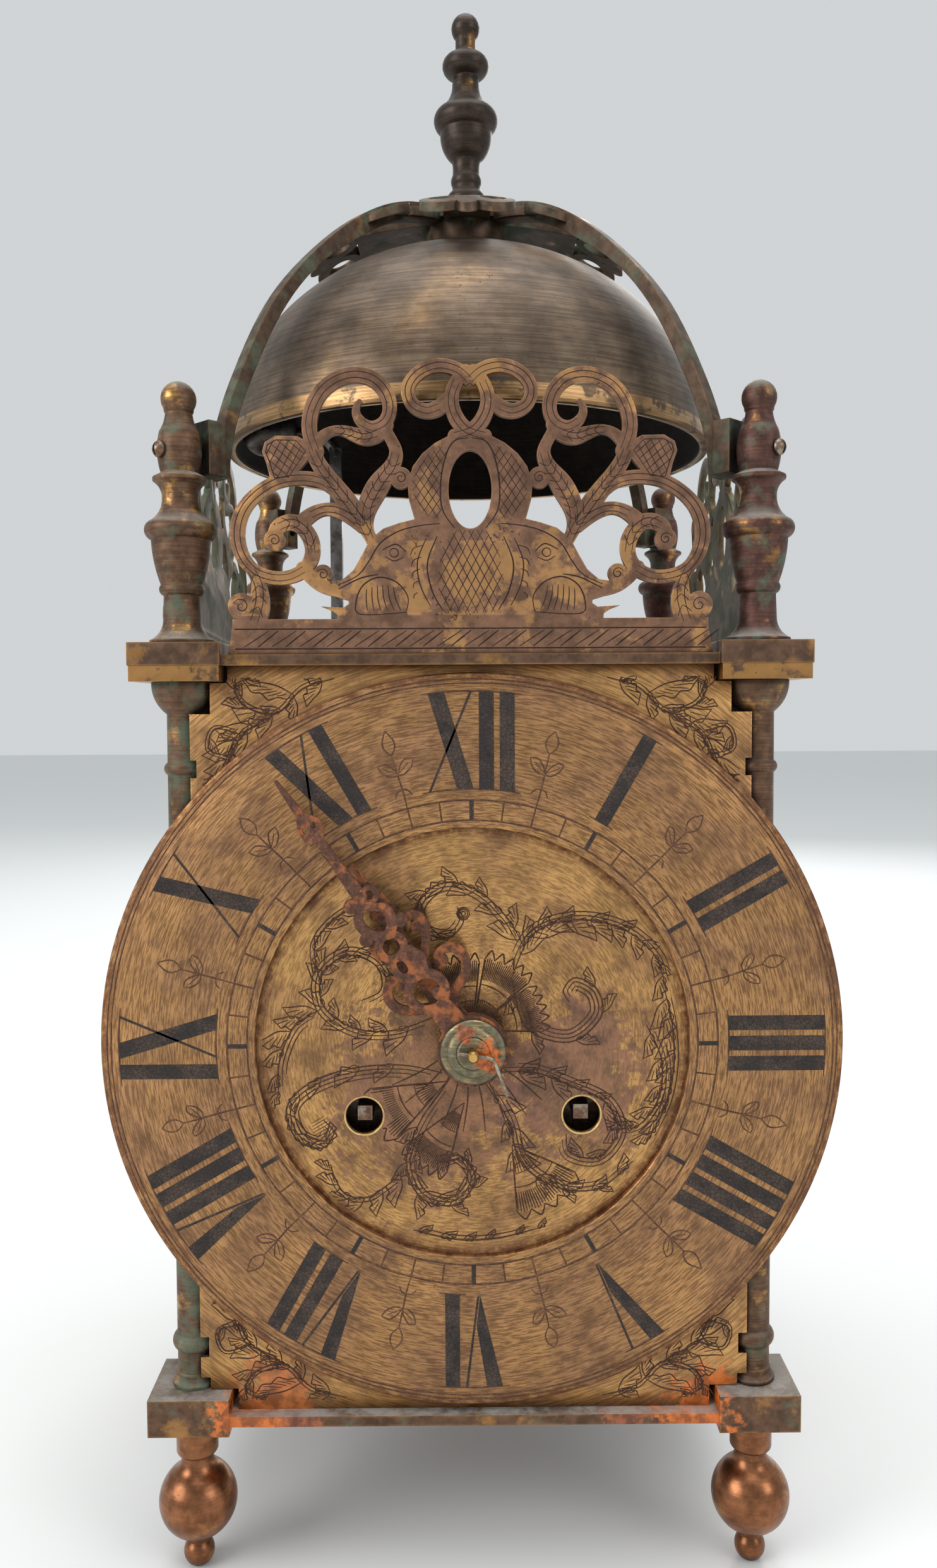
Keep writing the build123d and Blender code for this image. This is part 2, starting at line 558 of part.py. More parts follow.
# ---- frets ----
FRET_BODY = [
    (-2.0, 49.6),
    (2.0, 49.2),
    (4.7, 48.1),
    (7.8, 46.5),
    (10.6, 44.2),
    (12.7, 41.4),
    (13.9, 37.7),
    (13.6, 34.0),
    (12.4, 29.8),
    (15.7, 29.0),
    (19.3, 27.8),
    (22.3, 25.4),
    (24.2, 21.9),
    (26.1, 18.6),
    (28.7, 16.4),
    (31.3, 16.0),
    (30.3, 12.8),
    (27.3, 11.9),
    (26.6, 6.0),
    (-2.0, 6.0),
]
FRET_RIBBONS = {
    "tail": [
        (-3.4, 48.1, 3.0), (0.8, 49.5, 3.4), (3.4, 52.9, 3.4), (4.0, 56.6, 3.2), (2.8, 60.0, 3.0),
        (0.9, 62.1, 3.0),
    ],
    "top_loop": [
        (0.0, 60.3, 3.0), (2.8, 62.6, 3.0), (7.0, 63.5, 3.0), (11.4, 61.8, 3.0), (13.6, 58.6, 3.0),
        (12.8, 55.2, 3.0), (9.7, 53.6, 3.2), (6.7, 54.4, 3.4), (4.7, 56.4, 2.4),
    ],
    "ring": [
        (34.1, 45.0, 3.4), (35.5, 49.2, 3.4), (35.2, 53.3, 3.4), (33.0, 57.7, 3.4), (29.8, 60.3, 3.4),
        (25.6, 61.5, 3.4), (21.4, 60.6, 3.4), (18.6, 57.7, 3.4), (17.7, 54.3, 3.2), (18.8, 51.3, 3.0),
        (21.6, 50.0, 2.8), (24.2, 51.3, 2.4), (25.2, 53.6, 1.8), (24.4, 55.6, 1.2),
    ],
    "ring_leaf": [
        (18.1, 50.6, 2.4), (20.4, 48.7, 3.6), (23.7, 48.0, 3.6), (27.0, 49.0, 2.6), (30.0, 49.4, 2.0),
        (32.6, 48.2, 2.4), (34.5, 45.5, 2.6),
    ],
    "inner_leaf": [
        (21.8, 25.9, 2.0), (23.0, 28.4, 2.8), (22.9, 32.1, 4.2), (21.5, 35.4, 5.0), (19.5, 38.6, 4.6),
        (17.4, 41.4, 3.6), (16.4, 44.4, 3.0), (17.9, 48.1, 2.6), (18.9, 50.4, 2.4),
    ],
    "stem": [
        (22.2, 25.4, 2.4), (23.7, 28.4, 3.2), (26.5, 32.6, 4.4), (30.0, 37.2, 4.0), (33.1, 41.3, 3.6),
        (34.9, 45.0, 3.4),
    ],
    "c_scroll": [
        (27.9, 33.5, 3.0), (30.3, 36.5, 3.0), (33.1, 38.3, 3.0), (37.3, 39.0, 3.0), (42.5, 38.3, 3.0),
        (47.2, 35.7, 3.0), (50.5, 32.0, 3.2), (51.9, 27.4, 3.4), (51.2, 22.7, 3.2), (48.7, 19.0, 3.0),
        (44.9, 17.2, 3.0), (40.7, 17.1, 3.0), (37.1, 18.8, 3.2), (35.2, 22.3, 3.4), (36.2, 26.7, 3.6),
        (39.4, 29.2, 3.6), (42.6, 28.3, 3.4), (43.8, 26.0, 2.8),
    ],
    "c_mid": [
        (24.1, 28.3, 3.0), (28.4, 31.4, 3.2), (32.2, 32.1, 2.8), (35.4, 30.9, 3.2), (37.8, 28.8, 3.6),
    ],
    "nose_stem": [
        (26.5, 14.4, 4.0), (29.8, 14.3, 3.2), (33.1, 15.3, 3.2), (36.4, 17.9, 3.0), (37.6, 19.2, 2.6),
    ],
    "foot": [(48.9, 18.8, 2.6), (47.3, 15.3, 3.2), (47.2, 11.5, 4.6), (48.5, 7.2, 5.0)],
}
FRET_DOTS = [(15.4, 38.9, 2.4), (43.6, 25.3, 2.4), (32.9, 17.7, 2.2), (51.2, 10.7, 3.0)]
FLAG_LEAF = [
    (34.6, 46.2), (38.2, 48.1), (43.1, 48.2), (45.5, 46.8), (46.1, 44.7), (45.2, 42.2), (44.1, 38.0),
    (40.0, 38.2), (35.0, 44.0),
]
BASE_LEAF = [(26.1, 11.9), (28.4, 10.3), (33.4, 10.6), (31.3, 9.8), (29.8, 8.8), (29.6, 6.0), (24.0, 6.0)]
LUG_PLACES = (-34.0, 34.0)


def fret_outline():
    """Two crossed dolphins with scrolls over a plain band, drawn as seen from outside."""
    half = polygon(*FRET_BODY) + polygon(*FLAG_LEAF) + polygon(*BASE_LEAF)
    half += [ribbon(points) for points in FRET_RIBBONS.values()]
    half += [dot(*place) for place in FRET_DOTS]
    outline = both_sides(half)
    outline -= Pos(0, 36.3) * Ellipse(4.8, 8.6)
    outline -= Pos(0, 55.6) * Ellipse(1.6, 4.0)
    ledge = FRET_HALF_LENGTH - 1.1
    band = polygon(
        (-FRET_HALF_LENGTH, 0), (FRET_HALF_LENGTH, 0), (ledge, 6.5), (ledge, 7.8), (-ledge, 7.8),
        (-ledge, 6.5),
    )
    return outline + band


def fret():
    """Fret on the front edge of the top plate, with two screwed lugs behind its band."""
    face = -PLATE_OUT + FRET_SETBACK
    part = Pos(0, 0, TOP_Z) * slab(fret_outline(), face, face + FRET_THICK)
    for x in LUG_PLACES:
        part += box((x - 4, x + 4), (face + FRET_THICK - 0.2, face + FRET_THICK + 8), (TOP_Z, TOP_Z + 1.2))
    return part - fret_screw_row(1.2 + FIT)


def fret_screw_row(radius):
    y = -PLATE_OUT + FRET_SETBACK + FRET_THICK + 4.5
    return Part() + [Pos(x, y) * rod(radius, TOP_PLATE_Z - 2, TOP_Z + 3) for x in LUG_PLACES]


def fret_sides(part):
    """The same piece on the front, left and right sides."""
    return [part, Rot(0, 0, -90) * part, Rot(0, 0, 90) * part]


def fret_screw_holes():
    return Part() + fret_sides(fret_screw_row(1.2 + FIT))


def fret_screws():
    y = -PLATE_OUT + FRET_SETBACK + FRET_THICK + 4.5
    seat = TOP_Z + 1.2
    screw = turned([
        (0, TOP_PLATE_Z), (1.2, TOP_PLATE_Z), (1.2, seat), (2.3, seat), (2.3, seat + 0.8),
        (0, seat + 1.6, ROUND),
    ])
    screw -= box((-3, 3), (-0.3, 0.3), (seat + 0.9, seat + 2))
    row = Part() + [Pos(x, y) * screw for x in LUG_PLACES]
    return Part() + fret_sides(row)


# ---- dial and hands ----
def dial_plate():
    """Flat plate between the two plates, notched round the pillars' knops, capitals and blocks."""
    low, high = BASE_TOP_Z - DIAL_Z, TOP_PLATE_Z - DIAL_Z
    outline = Pos(0, (low + high) / 2) * Rectangle(2 * DIAL_HALF_WIDTH, high - low)
    knop_low = PILLAR_Z + LOW_KNOP_UP - DIAL_Z
    knop_top = CAPITAL_Z - TOP_KNOP_DOWN - DIAL_Z
    notches = (
        (AXIS_OUT - 10.9, low - 1, PILLAR_Z - DIAL_Z + GAP),
        (AXIS_OUT - 4.4, low - 1, PILLAR_Z - DIAL_Z + 3.0),
        (AXIS_OUT - 4.2, knop_low - 2.4, knop_low + 2.4),
        (AXIS_OUT - 3.6, knop_top - 2.0, knop_top + 2.0),
        (AXIS_OUT - 6.9, CAPITAL_Z - CAPITAL_HEIGHT - DIAL_Z, high + 1),
        (AXIS_OUT - 10.9, CAPITAL_Z - DIAL_Z - GAP, high + 1),
    )
    for inside, bottom, top in notches:
        notch = polygon((inside, bottom), (AXIS_OUT, bottom), (AXIS_OUT, top), (inside, top))
        outline -= both_sides(notch)
    outline -= Circle(3.3 + GAP) + dot(*GOING, WINDING_HOLE_RADIUS) + dot(*STRIKE, WINDING_HOLE_RADIUS)
    outline -= Sketch() + [dot(x, z, 1.5 + FIT) for x, z in DIAL_FEET]
    return inner(outline, -DIAL_THICK, 0)


def chapter_ring():
    ring = inner_turned(
        [
            (RING_BORE, -DIAL_THICK),
            (RING_BORE, -DIAL_THICK - RING_THICK + 0.3),
            (RING_BORE + 0.3, -DIAL_THICK - RING_THICK),
            (RING_RADIUS - 0.4, -DIAL_THICK - RING_THICK),
            (RING_RADIUS, -DIAL_THICK - RING_THICK + 0.5),
            (RING_RADIUS, -DIAL_THICK),
        ]
    )
    return ring


def dial_feet():
    """Four turned feet, riveted in the dial plate and standing in the movement's front plate."""
    front, back = FRONT_PLATE
    profile = [
        (0, -DIAL_THICK), (1.5, -DIAL_THICK), (1.5, 0), (3.0, 0), (3.0, 1.2), (2.2, 2.4),
        (2.2, front - 2.4),
    ]
    profile += [(3.0, front - 1.2), (3.0, front), (1.5, front), (1.5, back + 1.5), (0, back + 1.5)]
    return Part() + [inner_turned(profile, place) for place in DIAL_FEET]


def pipe(bore, radius, front, back):
    return inner(Circle(radius) - Circle(bore), front, back)


def minute_hand():
    """Pierced scroll hand, drawn upright and turned to its place."""
    ring = dot(-0.4, 17.0, 5.2) - dot(-0.4, 17.0, 3.1) + dot(1.6, 15.2, 1.5)
    web = polygon((-3.4, 21.0), (3.0, 21.0), (4.2, 24.5), (2.6, 28.0), (-3.6, 27.5), (-4.4, 24.0))
    web -= Pos(-1.6, 24.8) * Ellipse(1.0, 1.7)
    plan = Circle(BOSS_RADIUS) + polygon((-3.4, 6), (3.4, 6), (2.6, 12.8), (-2.6, 12.8)) + ring + web
    plan += dot(-0.9, 29.9, 3.7) - dot(-0.9, 29.9, 1.9)
    plan += ribbon([
        (0.2, 32.6, 2.4), (2.6, 34.6, 2.4), (3.0, 37.6, 2.2), (0.6, 40.0, 2.2), (-0.6, 42.6, 2.4),
    ])
    plan += ribbon([
        (-1.0, 33.0, 2.2), (-3.4, 35.6, 2.2), (-3.6, 38.6, 2.2), (-1.4, 41.2, 2.2), (-0.4, 44.0, 2.2),
    ])
    plan += dot(1.9, 42.2, 2.2) - dot(1.9, 42.2, 1.0) + dot(
        -2.9, 42.4, 1.7,
    ) + dot(4.3, 33.6, 1.6) + dot(-4.6, 34.4, 1.5)
    plan += ribbon([(0.0, 43.0, 3.2), (0.0, 48.0, 2.8), (0.1, 54.0, 2.2), (0.0, 59.0, 2.4)])
    leaf = polygon(
        (0, 57.0), (2.6, 60.2), (2.9, 62.6), (1.4, 65.0), (0, 66.6), (-1.4, 65.0), (-2.9, 62.6),
        (-2.6, 60.2),
    )
    plan += leaf - dot(-1.1, 62.0, 0.7) - dot(1.1, 62.0, 0.7)
    plan += polygon((-1.1, 65.0), (1.1, 65.0), (0.35, MINUTE_HAND_LENGTH), (-0.35, MINUTE_HAND_LENGTH))
    plan = Rot(0, 0, -MINUTE_HAND_TURN) * (plan - Circle(2.2 + FIT))
    return inner(plan, -8.6, -8.6 + HAND_THICK)


def hour_hand():
    """Shorter and wider pierced hand under the minute hand."""
    arm = polygon((-3.6, 6), (3.6, 6), (2.6, 13.0), (2.2, 20.0), (-2.2, 20.0), (-2.6, 13.0))
    loop = ribbon([
        (1.6, 11.0, 2.4), (4.6, 13.6, 2.4), (8.0, 15.4, 2.2), (9.8, 18.8, 2.2), (8.4, 22.0, 2.2),
        (5.4, 22.4, 2.0), (4.2, 20.0, 1.8),
    ])
    loop += ribbon([
        (1.4, 17.4, 2.2), (3.4, 25.0, 2.2), (5.8, 28.4, 2.2), (6.0, 32.0, 2.2), (3.4, 33.8, 2.0),
        (1.0, 32.0, 2.0),
    ])
    loop += dot(5.2, 20.6, 1.4) + dot(4.6, 30.2, 1.5)
    spade = polygon(
        (-1.6, 19.0), (1.6, 19.0), (1.4, 34.0), (3.2, 37.2), (2.0, 41.0), (-2.0, 41.0), (-3.2, 37.2),
        (-1.4, 34.0),
    )
    point = polygon((-1.5, 40.5), (1.5, 40.5), (0.4, HOUR_HAND_LENGTH), (-0.4, HOUR_HAND_LENGTH))
    plan = Circle(BOSS_RADIUS) + arm + both_sides(loop) + spade + point
    plan = Rot(0, 0, -HOUR_HAND_TURN) * (plan - Circle(3.3 + FIT))
    return inner(plan, -6.0, -6.0 + HAND_THICK)


def hand_collet():
    """Domed washer between minute hand and pin."""
    back = -8.6 - GAP
    profile = [
        (1.3 + FIT, back),
        (7.3, back),
        (7.3, back - 0.35),
        (6.1, back - 0.75, 6.9, back - 0.7),
        (5.9, back - 0.75),
        (3.9, back - 1.7, 5.1, back - 1.5),
        (3.7, back - 1.6),
        (3.0, back - 2.05, 3.4, back - 2.0),
        (1.3 + FIT, back - 2.05),
    ]
    return inner_turned(profile)


def hand_pin():
    """Thin pin through the end of the arbor, with its tail bent down to the right."""
    y = DIAL_BACK_Y - 12.2
    points = [(-3.4, 0.5), (0.0, 0.0), (3.4, -0.5), (5.4, -3.0), (6.6, -6.2), (7.6, -9.0)]
    straight = Line((-3.4, y, DIAL_Z + 0.5), (3.4, y, DIAL_Z - 0.5))
    bent = Spline(*[(x, y, DIAL_Z + z) for x, z in points[2:]], tangents=[(1, 0, -0.147), (0.3, 0, -1)])
    wire = Wire([straight, bent])
    return sweep(Plane(wire @ 0, z_dir=wire % 0) * Circle(0.45), path=wire)


# ---- doors ----
def door():
    """Right-hand side door, with two pivots on its rear edge."""
    tall, short = AXIS_OUT - 5.8, AXIS_OUT - 11.1
    low, high = BASE_TOP_Z + GAP, TOP_PLATE_Z - GAP
    outline = Pos(0, (low + high) / 2) * Rectangle(2 * short, high - low)
    low, high = PILLAR_Z + 3.4, CAPITAL_Z - CAPITAL_HEIGHT - 0.1
    outline += Pos(0, (low + high) / 2) * Rectangle(2 * tall, high - low)
    outline -= dot(-AXIS_OUT + 16, DIAL_Z, 1.5 + FIT)
    part = extrude(Plane.YZ.offset(DOOR_OUT - DOOR_THICK) * outline, DOOR_THICK)
    pivot_low = rod(DOOR_PINTLE_RADIUS, BASE_PLATE_Z, BASE_TOP_Z + 8)
    pivot_high = rod(DOOR_PINTLE_RADIUS, TOP_PLATE_Z - 8, TOP_Z)
    return part + Pos(PINTLE_OUT, PINTLE_ALONG) * (pivot_low + pivot_high)


def door_knob(reach):
    """Turned knob on the right-hand side door, riveted from inside."""
    profile = [
        (0, -DOOR_THICK - 0.4),
        (2.4, -DOOR_THICK - 0.4),
        (2.4, -DOOR_THICK),
        (1.5, -DOOR_THICK),
        (1.5, 0),
        (3.4, 0),
        (3.4, 0.8),
        (1.9, 2.2, 2.2, 1.2),
        (1.9, reach - 6.2),
        (0, reach, ROUND),
    ]
    return Pos(DOOR_OUT, -AXIS_OUT + 16, DIAL_Z) * Rot(0, 90, 0) * turned(profile)


def to_left(part):
    return mirror(part, Plane.YZ)


def to_back(part):
    """From the right side to the back, hinge on the right."""
    return mirror(Rot(0, 0, -90) * part, Plane.XZ)


# ---- movement frame ----
def movement_plate(span, journals):
    """Plate with a pivot hole for each arbor and a hole for each movement pillar."""
    middle = (MOVEMENT_TOP - MOVEMENT_BOTTOM) / 2
    outline = Pos(0, middle) * RectangleRounded(2 * MOVEMENT_HALF_WIDTH, MOVEMENT_TOP + MOVEMENT_BOTTOM, 3)
    outline -= Sketch() + [dot(*at, radius + FIT) for at, radius in journals]
    outline -= Sketch() + [dot(*at, 1.8 + FIT) for at in MOVEMENT_CORNERS]
    return inner(outline, *span)


def click_place(side):
    return (side * (WINDING_ACROSS + 11.5), -WINDING_BELOW - 4.0)


def movement_front_plate():
    journals = [(at, PIVOT_RADIUS) for at in (
        SECOND, THIRD, ESCAPE, PALLETS, PIN_WHEEL, WARNING, FLY, HAMMER,
    )]
    journals += [(CENTRE, 1.6), (GOING, 2.5), (STRIKE, 2.5)] + [(at, 1.5) for at in DIAL_FEET]
    part = movement_plate(FRONT_PLATE, journals)
    front = FRONT_PLATE[0]
    stud = [
        (0, front + 1), (1.2, front + 1), (2.0, front), (2.0, front - 1.7), (1.2, front - 1.7),
        (1.2, 4.3), (2.0, 4.3), (2.0, 3.6), (0, 3.6),
    ]
    part += inner_turned(stud, MINUTE)
    for side in (-1, 1):
        pivot = [
            (0, front + 1), (1.1, front), (1.1, front - 2.1), (2.0, front - 2.1), (2.0, front - 2.9),
            (0, front - 3.3),
        ]
        part += inner_turned(pivot, click_place(side))
    return part


def movement_back_plate():
    journals = [(at, PIVOT_RADIUS) for at in (SECOND, THIRD, ESCAPE, PIN_WHEEL, WARNING, FLY, CENTRE)]
    journals += [(GOING, 1.5), (STRIKE, 1.5), (HAMMER, 1.3), (PALLETS, 2.0)]
    journals += [((side * 10.5, PALLET_HEIGHT + 2), 1.2) for side in (-1, 1)]
    return movement_plate(BACK_PLATE, journals)


def movement_pillars():
    front, back = FRONT_PLATE[1], BACK_PLATE[0]
    middle = (front + back) / 2
    profile = [
        (0, FRONT_PLATE[0] - 1.2),
        (1.8, FRONT_PLATE[0] - 1.2),
        (1.8, front),
        (3.8, front),
        (3.8, front + 1.5),
        (2.6, front + 3.5, 2.8, front + 2.0),
        (2.9, middle - 2),
        (2.9, middle + 2, 3.9, middle),
        (2.6, back - 3.5),
        (3.8, back - 1.5, 2.8, back - 2.0),
        (3.8, back),
        (1.8, back),
        (1.8, BACK_PLATE[1] + 1.2),
        (0, BACK_PLATE[1] + 1.2),
    ]
    return Part() + [inner_turned(profile, at) for at in MOVEMENT_CORNERS]


def movement_brackets():
    """Two bridges on the base plate that carry the movement plates."""
    front, back = DIAL_BACK_Y + FRONT_PLATE[0], DIAL_BACK_Y + BACK_PLATE[1]
    top = DIAL_Z - MOVEMENT_BOTTOM
    part = box((-4, 4), (front, back), (top - 3, top))
    for inside, outside in ((front, front + 4), (back - 4, back)):
        part += box((-4, 4), (inside, outside), (BASE_TOP_Z, top - 2.9))
    part += box((-4, 4), (front + 3.9, front + 12), (BASE_TOP_Z, BASE_TOP_Z + 2))
    part += box((-4, 4), (back - 12, back - 3.9), (BASE_TOP_Z, BASE_TOP_Z + 2))
    for y in (front + 8, back - 8):
        part += Pos(0, y) * turned([
            (0, BASE_TOP_Z + 1), (2.3, BASE_TOP_Z + 1), (2.3, BASE_TOP_Z + 3.2), (0, BASE_TOP_Z + 3.8),
        ])
    return Part() + [Pos(x, 0) * part for x in (-40, 40)]


# ---- trains ----
def arbor(at, radius, front=None, back=None):
    """Round arbor between the plates with a pivot in each."""
    front = FRONT_PLATE[1] + GAP if front is None else front
    back = BACK_PLATE[0] - GAP if back is None else back
    part = inner_rod(at, radius, front, back)
    return part + inner_rod(at, PIVOT_RADIUS, FRONT_PLATE[0], BACK_PLATE[1])


def placed(outline, at, front, back):
    return inner(Pos(*at) * outline, front, back)


def wheel(at, teeth, module, turn, front, back, hub=3.0, arm=1.8):
    rim = module * teeth / 2 - 1.2 * module - 1.4
    return placed(crossed(teeth_outline(teeth, module, turn), rim, hub, arm), at, front, back)


def pinion(at, leaves, module, turn, front, back):
    return placed(teeth_outline(leaves, module, turn, lean=0.36), at, front, back)


def barrel(at, front, back, thick):
    """Spring drum with its great wheel, free on the winding arbor."""
    drum = placed(Circle(DRUM_RADIUS) - Circle(2.4 + FIT), at, front, back + 0.5)
    drum -= placed(Circle(DRUM_RADIUS - DRUM_WALL) - Circle(4.5), at, front + DRUM_WALL, back - DRUM_WALL)
    gear = teeth_outline(GREAT_TEETH, GREAT_MODULE, 0) - Circle(2.4 + FIT)
    return drum + placed(gear, at, back, back + thick)


def going_barrel():
    return barrel(GOING, 19.6, 39.6, 2.0)


def strike_barrel():
    return barrel(STRIKE, 17.6, 36.6, 2.0)


def winding_arbor(at, side, drum_front, drum_back):
    """Arbor with a square for the key, a ratchet wheel outside the front plate and collars by the drum."""
    body = placed(Rectangle(SQUARE_SIDE, SQUARE_SIDE), at, 1.1, 9.7)
    body += inner_rod(at, 2.5, 9.6, FRONT_PLATE[1])
    body += inner_rod(at, 3.5, FRONT_PLATE[1] + GAP, drum_front - GAP)
    body += inner_rod(at, 2.4, FRONT_PLATE[1], drum_back + 2)
    body += inner_rod(at, 3.5, drum_back + GAP, BACK_PLATE[0] - GAP)
    body += inner_rod(at, 1.5, BACK_PLATE[0] - 2, BACK_PLATE[1])
    corners = []
    for i in range(24):
        angle = i * 2 * pi / 24
        corners.append((6.8 * cos(angle), side * 6.8 * sin(angle)))
        corners.append((5.8 * cos(angle + 0.05), side * 5.8 * sin(angle + 0.05)))
    return body + placed(polygon(*corners), at, 9.6, 11.3)


def click(side):
    """Pawl beside the ratchet wheel, its tip just clear of the teeth."""
    pivot, tip = (11.5, -4.0), (6.35, 4.45)
    finger = polygon(
        (pivot[0] - 1.5, pivot[1] - 0.6), (pivot[0] + 1.6, pivot[1] + 0.6),
        (tip[0] + 1.2, tip[1] + 0.6), tip,
    )
    plan = dot(*pivot, 2.3) + finger - dot(*pivot, 1.1 + FIT)
    if side < 0:
        plan = mirror(plan, Plane.YZ)
    return placed(plan, (side * WINDING_ACROSS, -WINDING_BELOW), 9.7, 11.2)


def second_wheel():
    """Second arbor: pinion in the great wheel, wheel in the centre pinion."""
    turn = mesh_turn(GOING, GREAT_TEETH, 0, SECOND, LEAF_TEETH)
    part = arbor(SECOND, 1.0) + pinion(SECOND, LEAF_TEETH, GREAT_MODULE, turn, 39.1, 42.1)
    return part + wheel(SECOND, SECOND_TEETH, SECOND_MODULE, 0, 44.1, 45.6)


def centre_wheel():
    """Centre arbor, reaching forward through the dial to carry the hands' collet and pin."""
    turn = mesh_turn(SECOND, SECOND_TEETH, 0, CENTRE, CENTRE_LEAVES)
    part = inner_rod(
        CENTRE, 1.6, FRONT_PLATE[0], BACK_PLATE[0] - GAP,
    ) + inner_rod(CENTRE, PIVOT_RADIUS, 40, BACK_PLATE[1])
    part += inner_turned([(0, 14), (1.3, 14), (1.3, -13.4), (0.9, -14.0), (0, -14.0)])
    part += pinion(CENTRE, CENTRE_LEAVES, SECOND_MODULE, turn, 43.6, 46.1)
    part += wheel(CENTRE, CENTRE_TEETH, CENTRE_MODULE, 0, 15.6, 17.1)
    cross = Pos(0, DIAL_BACK_Y - 12.2, DIAL_Z) * Rot(
        0, degrees(atan2(0.5, 3.4)), 0,
    ) * Rot(0, 90, 0) * rod(0.45 + FIT, -3, 3)
    return part - cross


def third_wheel():
    turn = mesh_turn(CENTRE, CENTRE_TEETH, 0, THIRD, THIRD_LEAVES)
    part = arbor(THIRD, 1.0) + pinion(THIRD, THIRD_LEAVES, CENTRE_MODULE, turn, 14.6, 17.9)
    return part + wheel(THIRD, THIRD_TEETH, THIRD_MODULE, 0, 23.6, 24.8)


def escape_wheel():
    """Escape arbor with its pinion and a wheel of thin pointed teeth."""
    turn = mesh_turn(THIRD, THIRD_TEETH, 0, ESCAPE, ESCAPE_LEAVES)
    part = arbor(ESCAPE, 0.78) + pinion(ESCAPE, ESCAPE_LEAVES, THIRD_MODULE, turn, 22.6, 25.8)
    corners = []
    for i in range(ESCAPE_TEETH):
        angle = i * 2 * pi / ESCAPE_TEETH
        for radius, turn in ((ESCAPE_RADIUS, 0.0), (ESCAPE_RADIUS, 0.02), (12.3, 0.05), (12.3, 0.10)):
            corners.append((radius * cos(angle + turn), radius * sin(angle + turn)))
    return part + placed(crossed(polygon(*corners), 11.0, 2.8, 1.6), ESCAPE, 39.6, 40.8)


def pallet_anchor():
    """Pallet arbor; the two pallets stay outside the escape wheel's teeth through the whole swing."""
    part = inner_rod(PALLETS, 1.0, FRONT_PLATE[1] + GAP, 62.3)
    part += inner_rod(PALLETS, PIVOT_RADIUS, FRONT_PLATE[0], 64.6)
    drop = PALLET_HEIGHT - ESCAPE[1] - ESCAPE_RADIUS
    arm = ribbon([
        (0, 0, 3.6), (5.5, -3.4, 2.6), (10.0, -9.0, 2.2), (11.8, -drop + 1.6, 1.8),
        (10.6, -drop - 1.4, 1.0),
    ])
    return part + placed(both_sides(arm) + Circle(3.2), PALLETS, 39.4, 41.0)


def pendulum():
    """Rod and lens-shaped bob, on the rear end of the pallet arbor."""
    hub = placed(Circle(3.0) - Circle(1.0 + FIT), PALLETS, 56.2, 59.0)
    bar = placed(Pos(0, -PENDULUM_LENGTH / 2) * Rectangle(1.8, PENDULUM_LENGTH - 4.4), PALLETS, 57.0, 58.2)
    tail = placed(Pos(0, -PENDULUM_LENGTH - 9) * Rectangle(1.8, 14), PALLETS, 57.0, 58.2)
    lens = [(0, 53.8), (BOB_RADIUS, 57.2, ROUND), (BOB_RADIUS, 58.0), (0, 61.4, ROUND)]
    return hub + bar + tail + inner_turned(lens, (0, PALLET_HEIGHT - PENDULUM_LENGTH))


def pendulum_cock():
    """Bridge behind the back plate for the pallet arbor's rear pivot."""
    up = PALLET_HEIGHT + 2
    plan = Pos(0, up) * RectangleRounded(28, 12, 2.5) - dot(*PALLETS, PIVOT_RADIUS + FIT)
    part = inner(plan, 62.6, 64.6)
    for side in (-1, 1):
        part += inner_rod((side * 10.5, up), 2.6, BACK_PLATE[1], 62.6)
        part += inner_rod((side * 10.5, up), 1.2, BACK_PLATE[0], 62.6)
        part += inner_rod((side * 10.5, up), 2.2, 64.6, 65.8)
    return part


def cannon_pinion():
    """Pipe of the minute hand with the motion work's first pinion."""
    part = pipe(1.3 + FIT, 2.2, -8.6, 11.2)
    gear = teeth_outline(CANNON_LEAVES, MINUTE_MODULE, 0) - Circle(1.3 + FIT)
    return part + inner(gear, 7.6, 10.1)


def minute_wheel():
    turn = mesh_turn(CENTRE, CANNON_LEAVES, 0, MINUTE, MINUTE_TEETH)
    hole = Circle(1.2 + FIT)
    gear = crossed(teeth_outline(MINUTE_TEETH, MINUTE_MODULE, turn), 6.4, 2.8, 1.6) - hole
    return placed(gear, MINUTE, 8.1, 9.6) + placed(
        teeth_outline(MINUTE_LEAVES, HOUR_MODULE, 0) - hole, MINUTE, 4.6, 8.1,
    )


def hour_wheel():
    """Wheel and pipe of the hour hand, round the cannon pinion's pipe."""
    turn = mesh_turn(MINUTE, MINUTE_LEAVES, 0, CENTRE, HOUR_TEETH)
    gear = crossed(teeth_outline(HOUR_TEETH, HOUR_MODULE, turn), 7.0, 4.4, 1.6) - Circle(2.2 + FIT)
    return pipe(2.2 + FIT, 3.3, -6.0, 7.0) + inner(gear, 5.1, 6.6)


def pin_wheel():
    """Strike train's second arbor, with lifting pins behind its wheel."""
    turn = mesh_turn(STRIKE, GREAT_TEETH, 0, PIN_WHEEL, LEAF_TEETH)
    part = arbor(PIN_WHEEL, 1.0) + pinion(PIN_WHEEL, LEAF_TEETH, GREAT_MODULE, turn, 35.6, 39.1)
    part += wheel(PIN_WHEEL, PIN_TEETH, PIN_MODULE, 0, 43.6, 45.1, arm=2.2)
    rim = inner(
        Pos(*PIN_WHEEL) * (Circle(PIN_TEETH * PIN_MODULE / 2 - 0.7) - Circle(PIN_CIRCLE - 2.4)), 43.6,
        45.1,
    )
    pins = [inner_rod(step(PIN_WHEEL, PIN_CIRCLE, 36 * i), PIN_RADIUS, 44, 49.0) for i in range(10)]
    return part + rim + pins


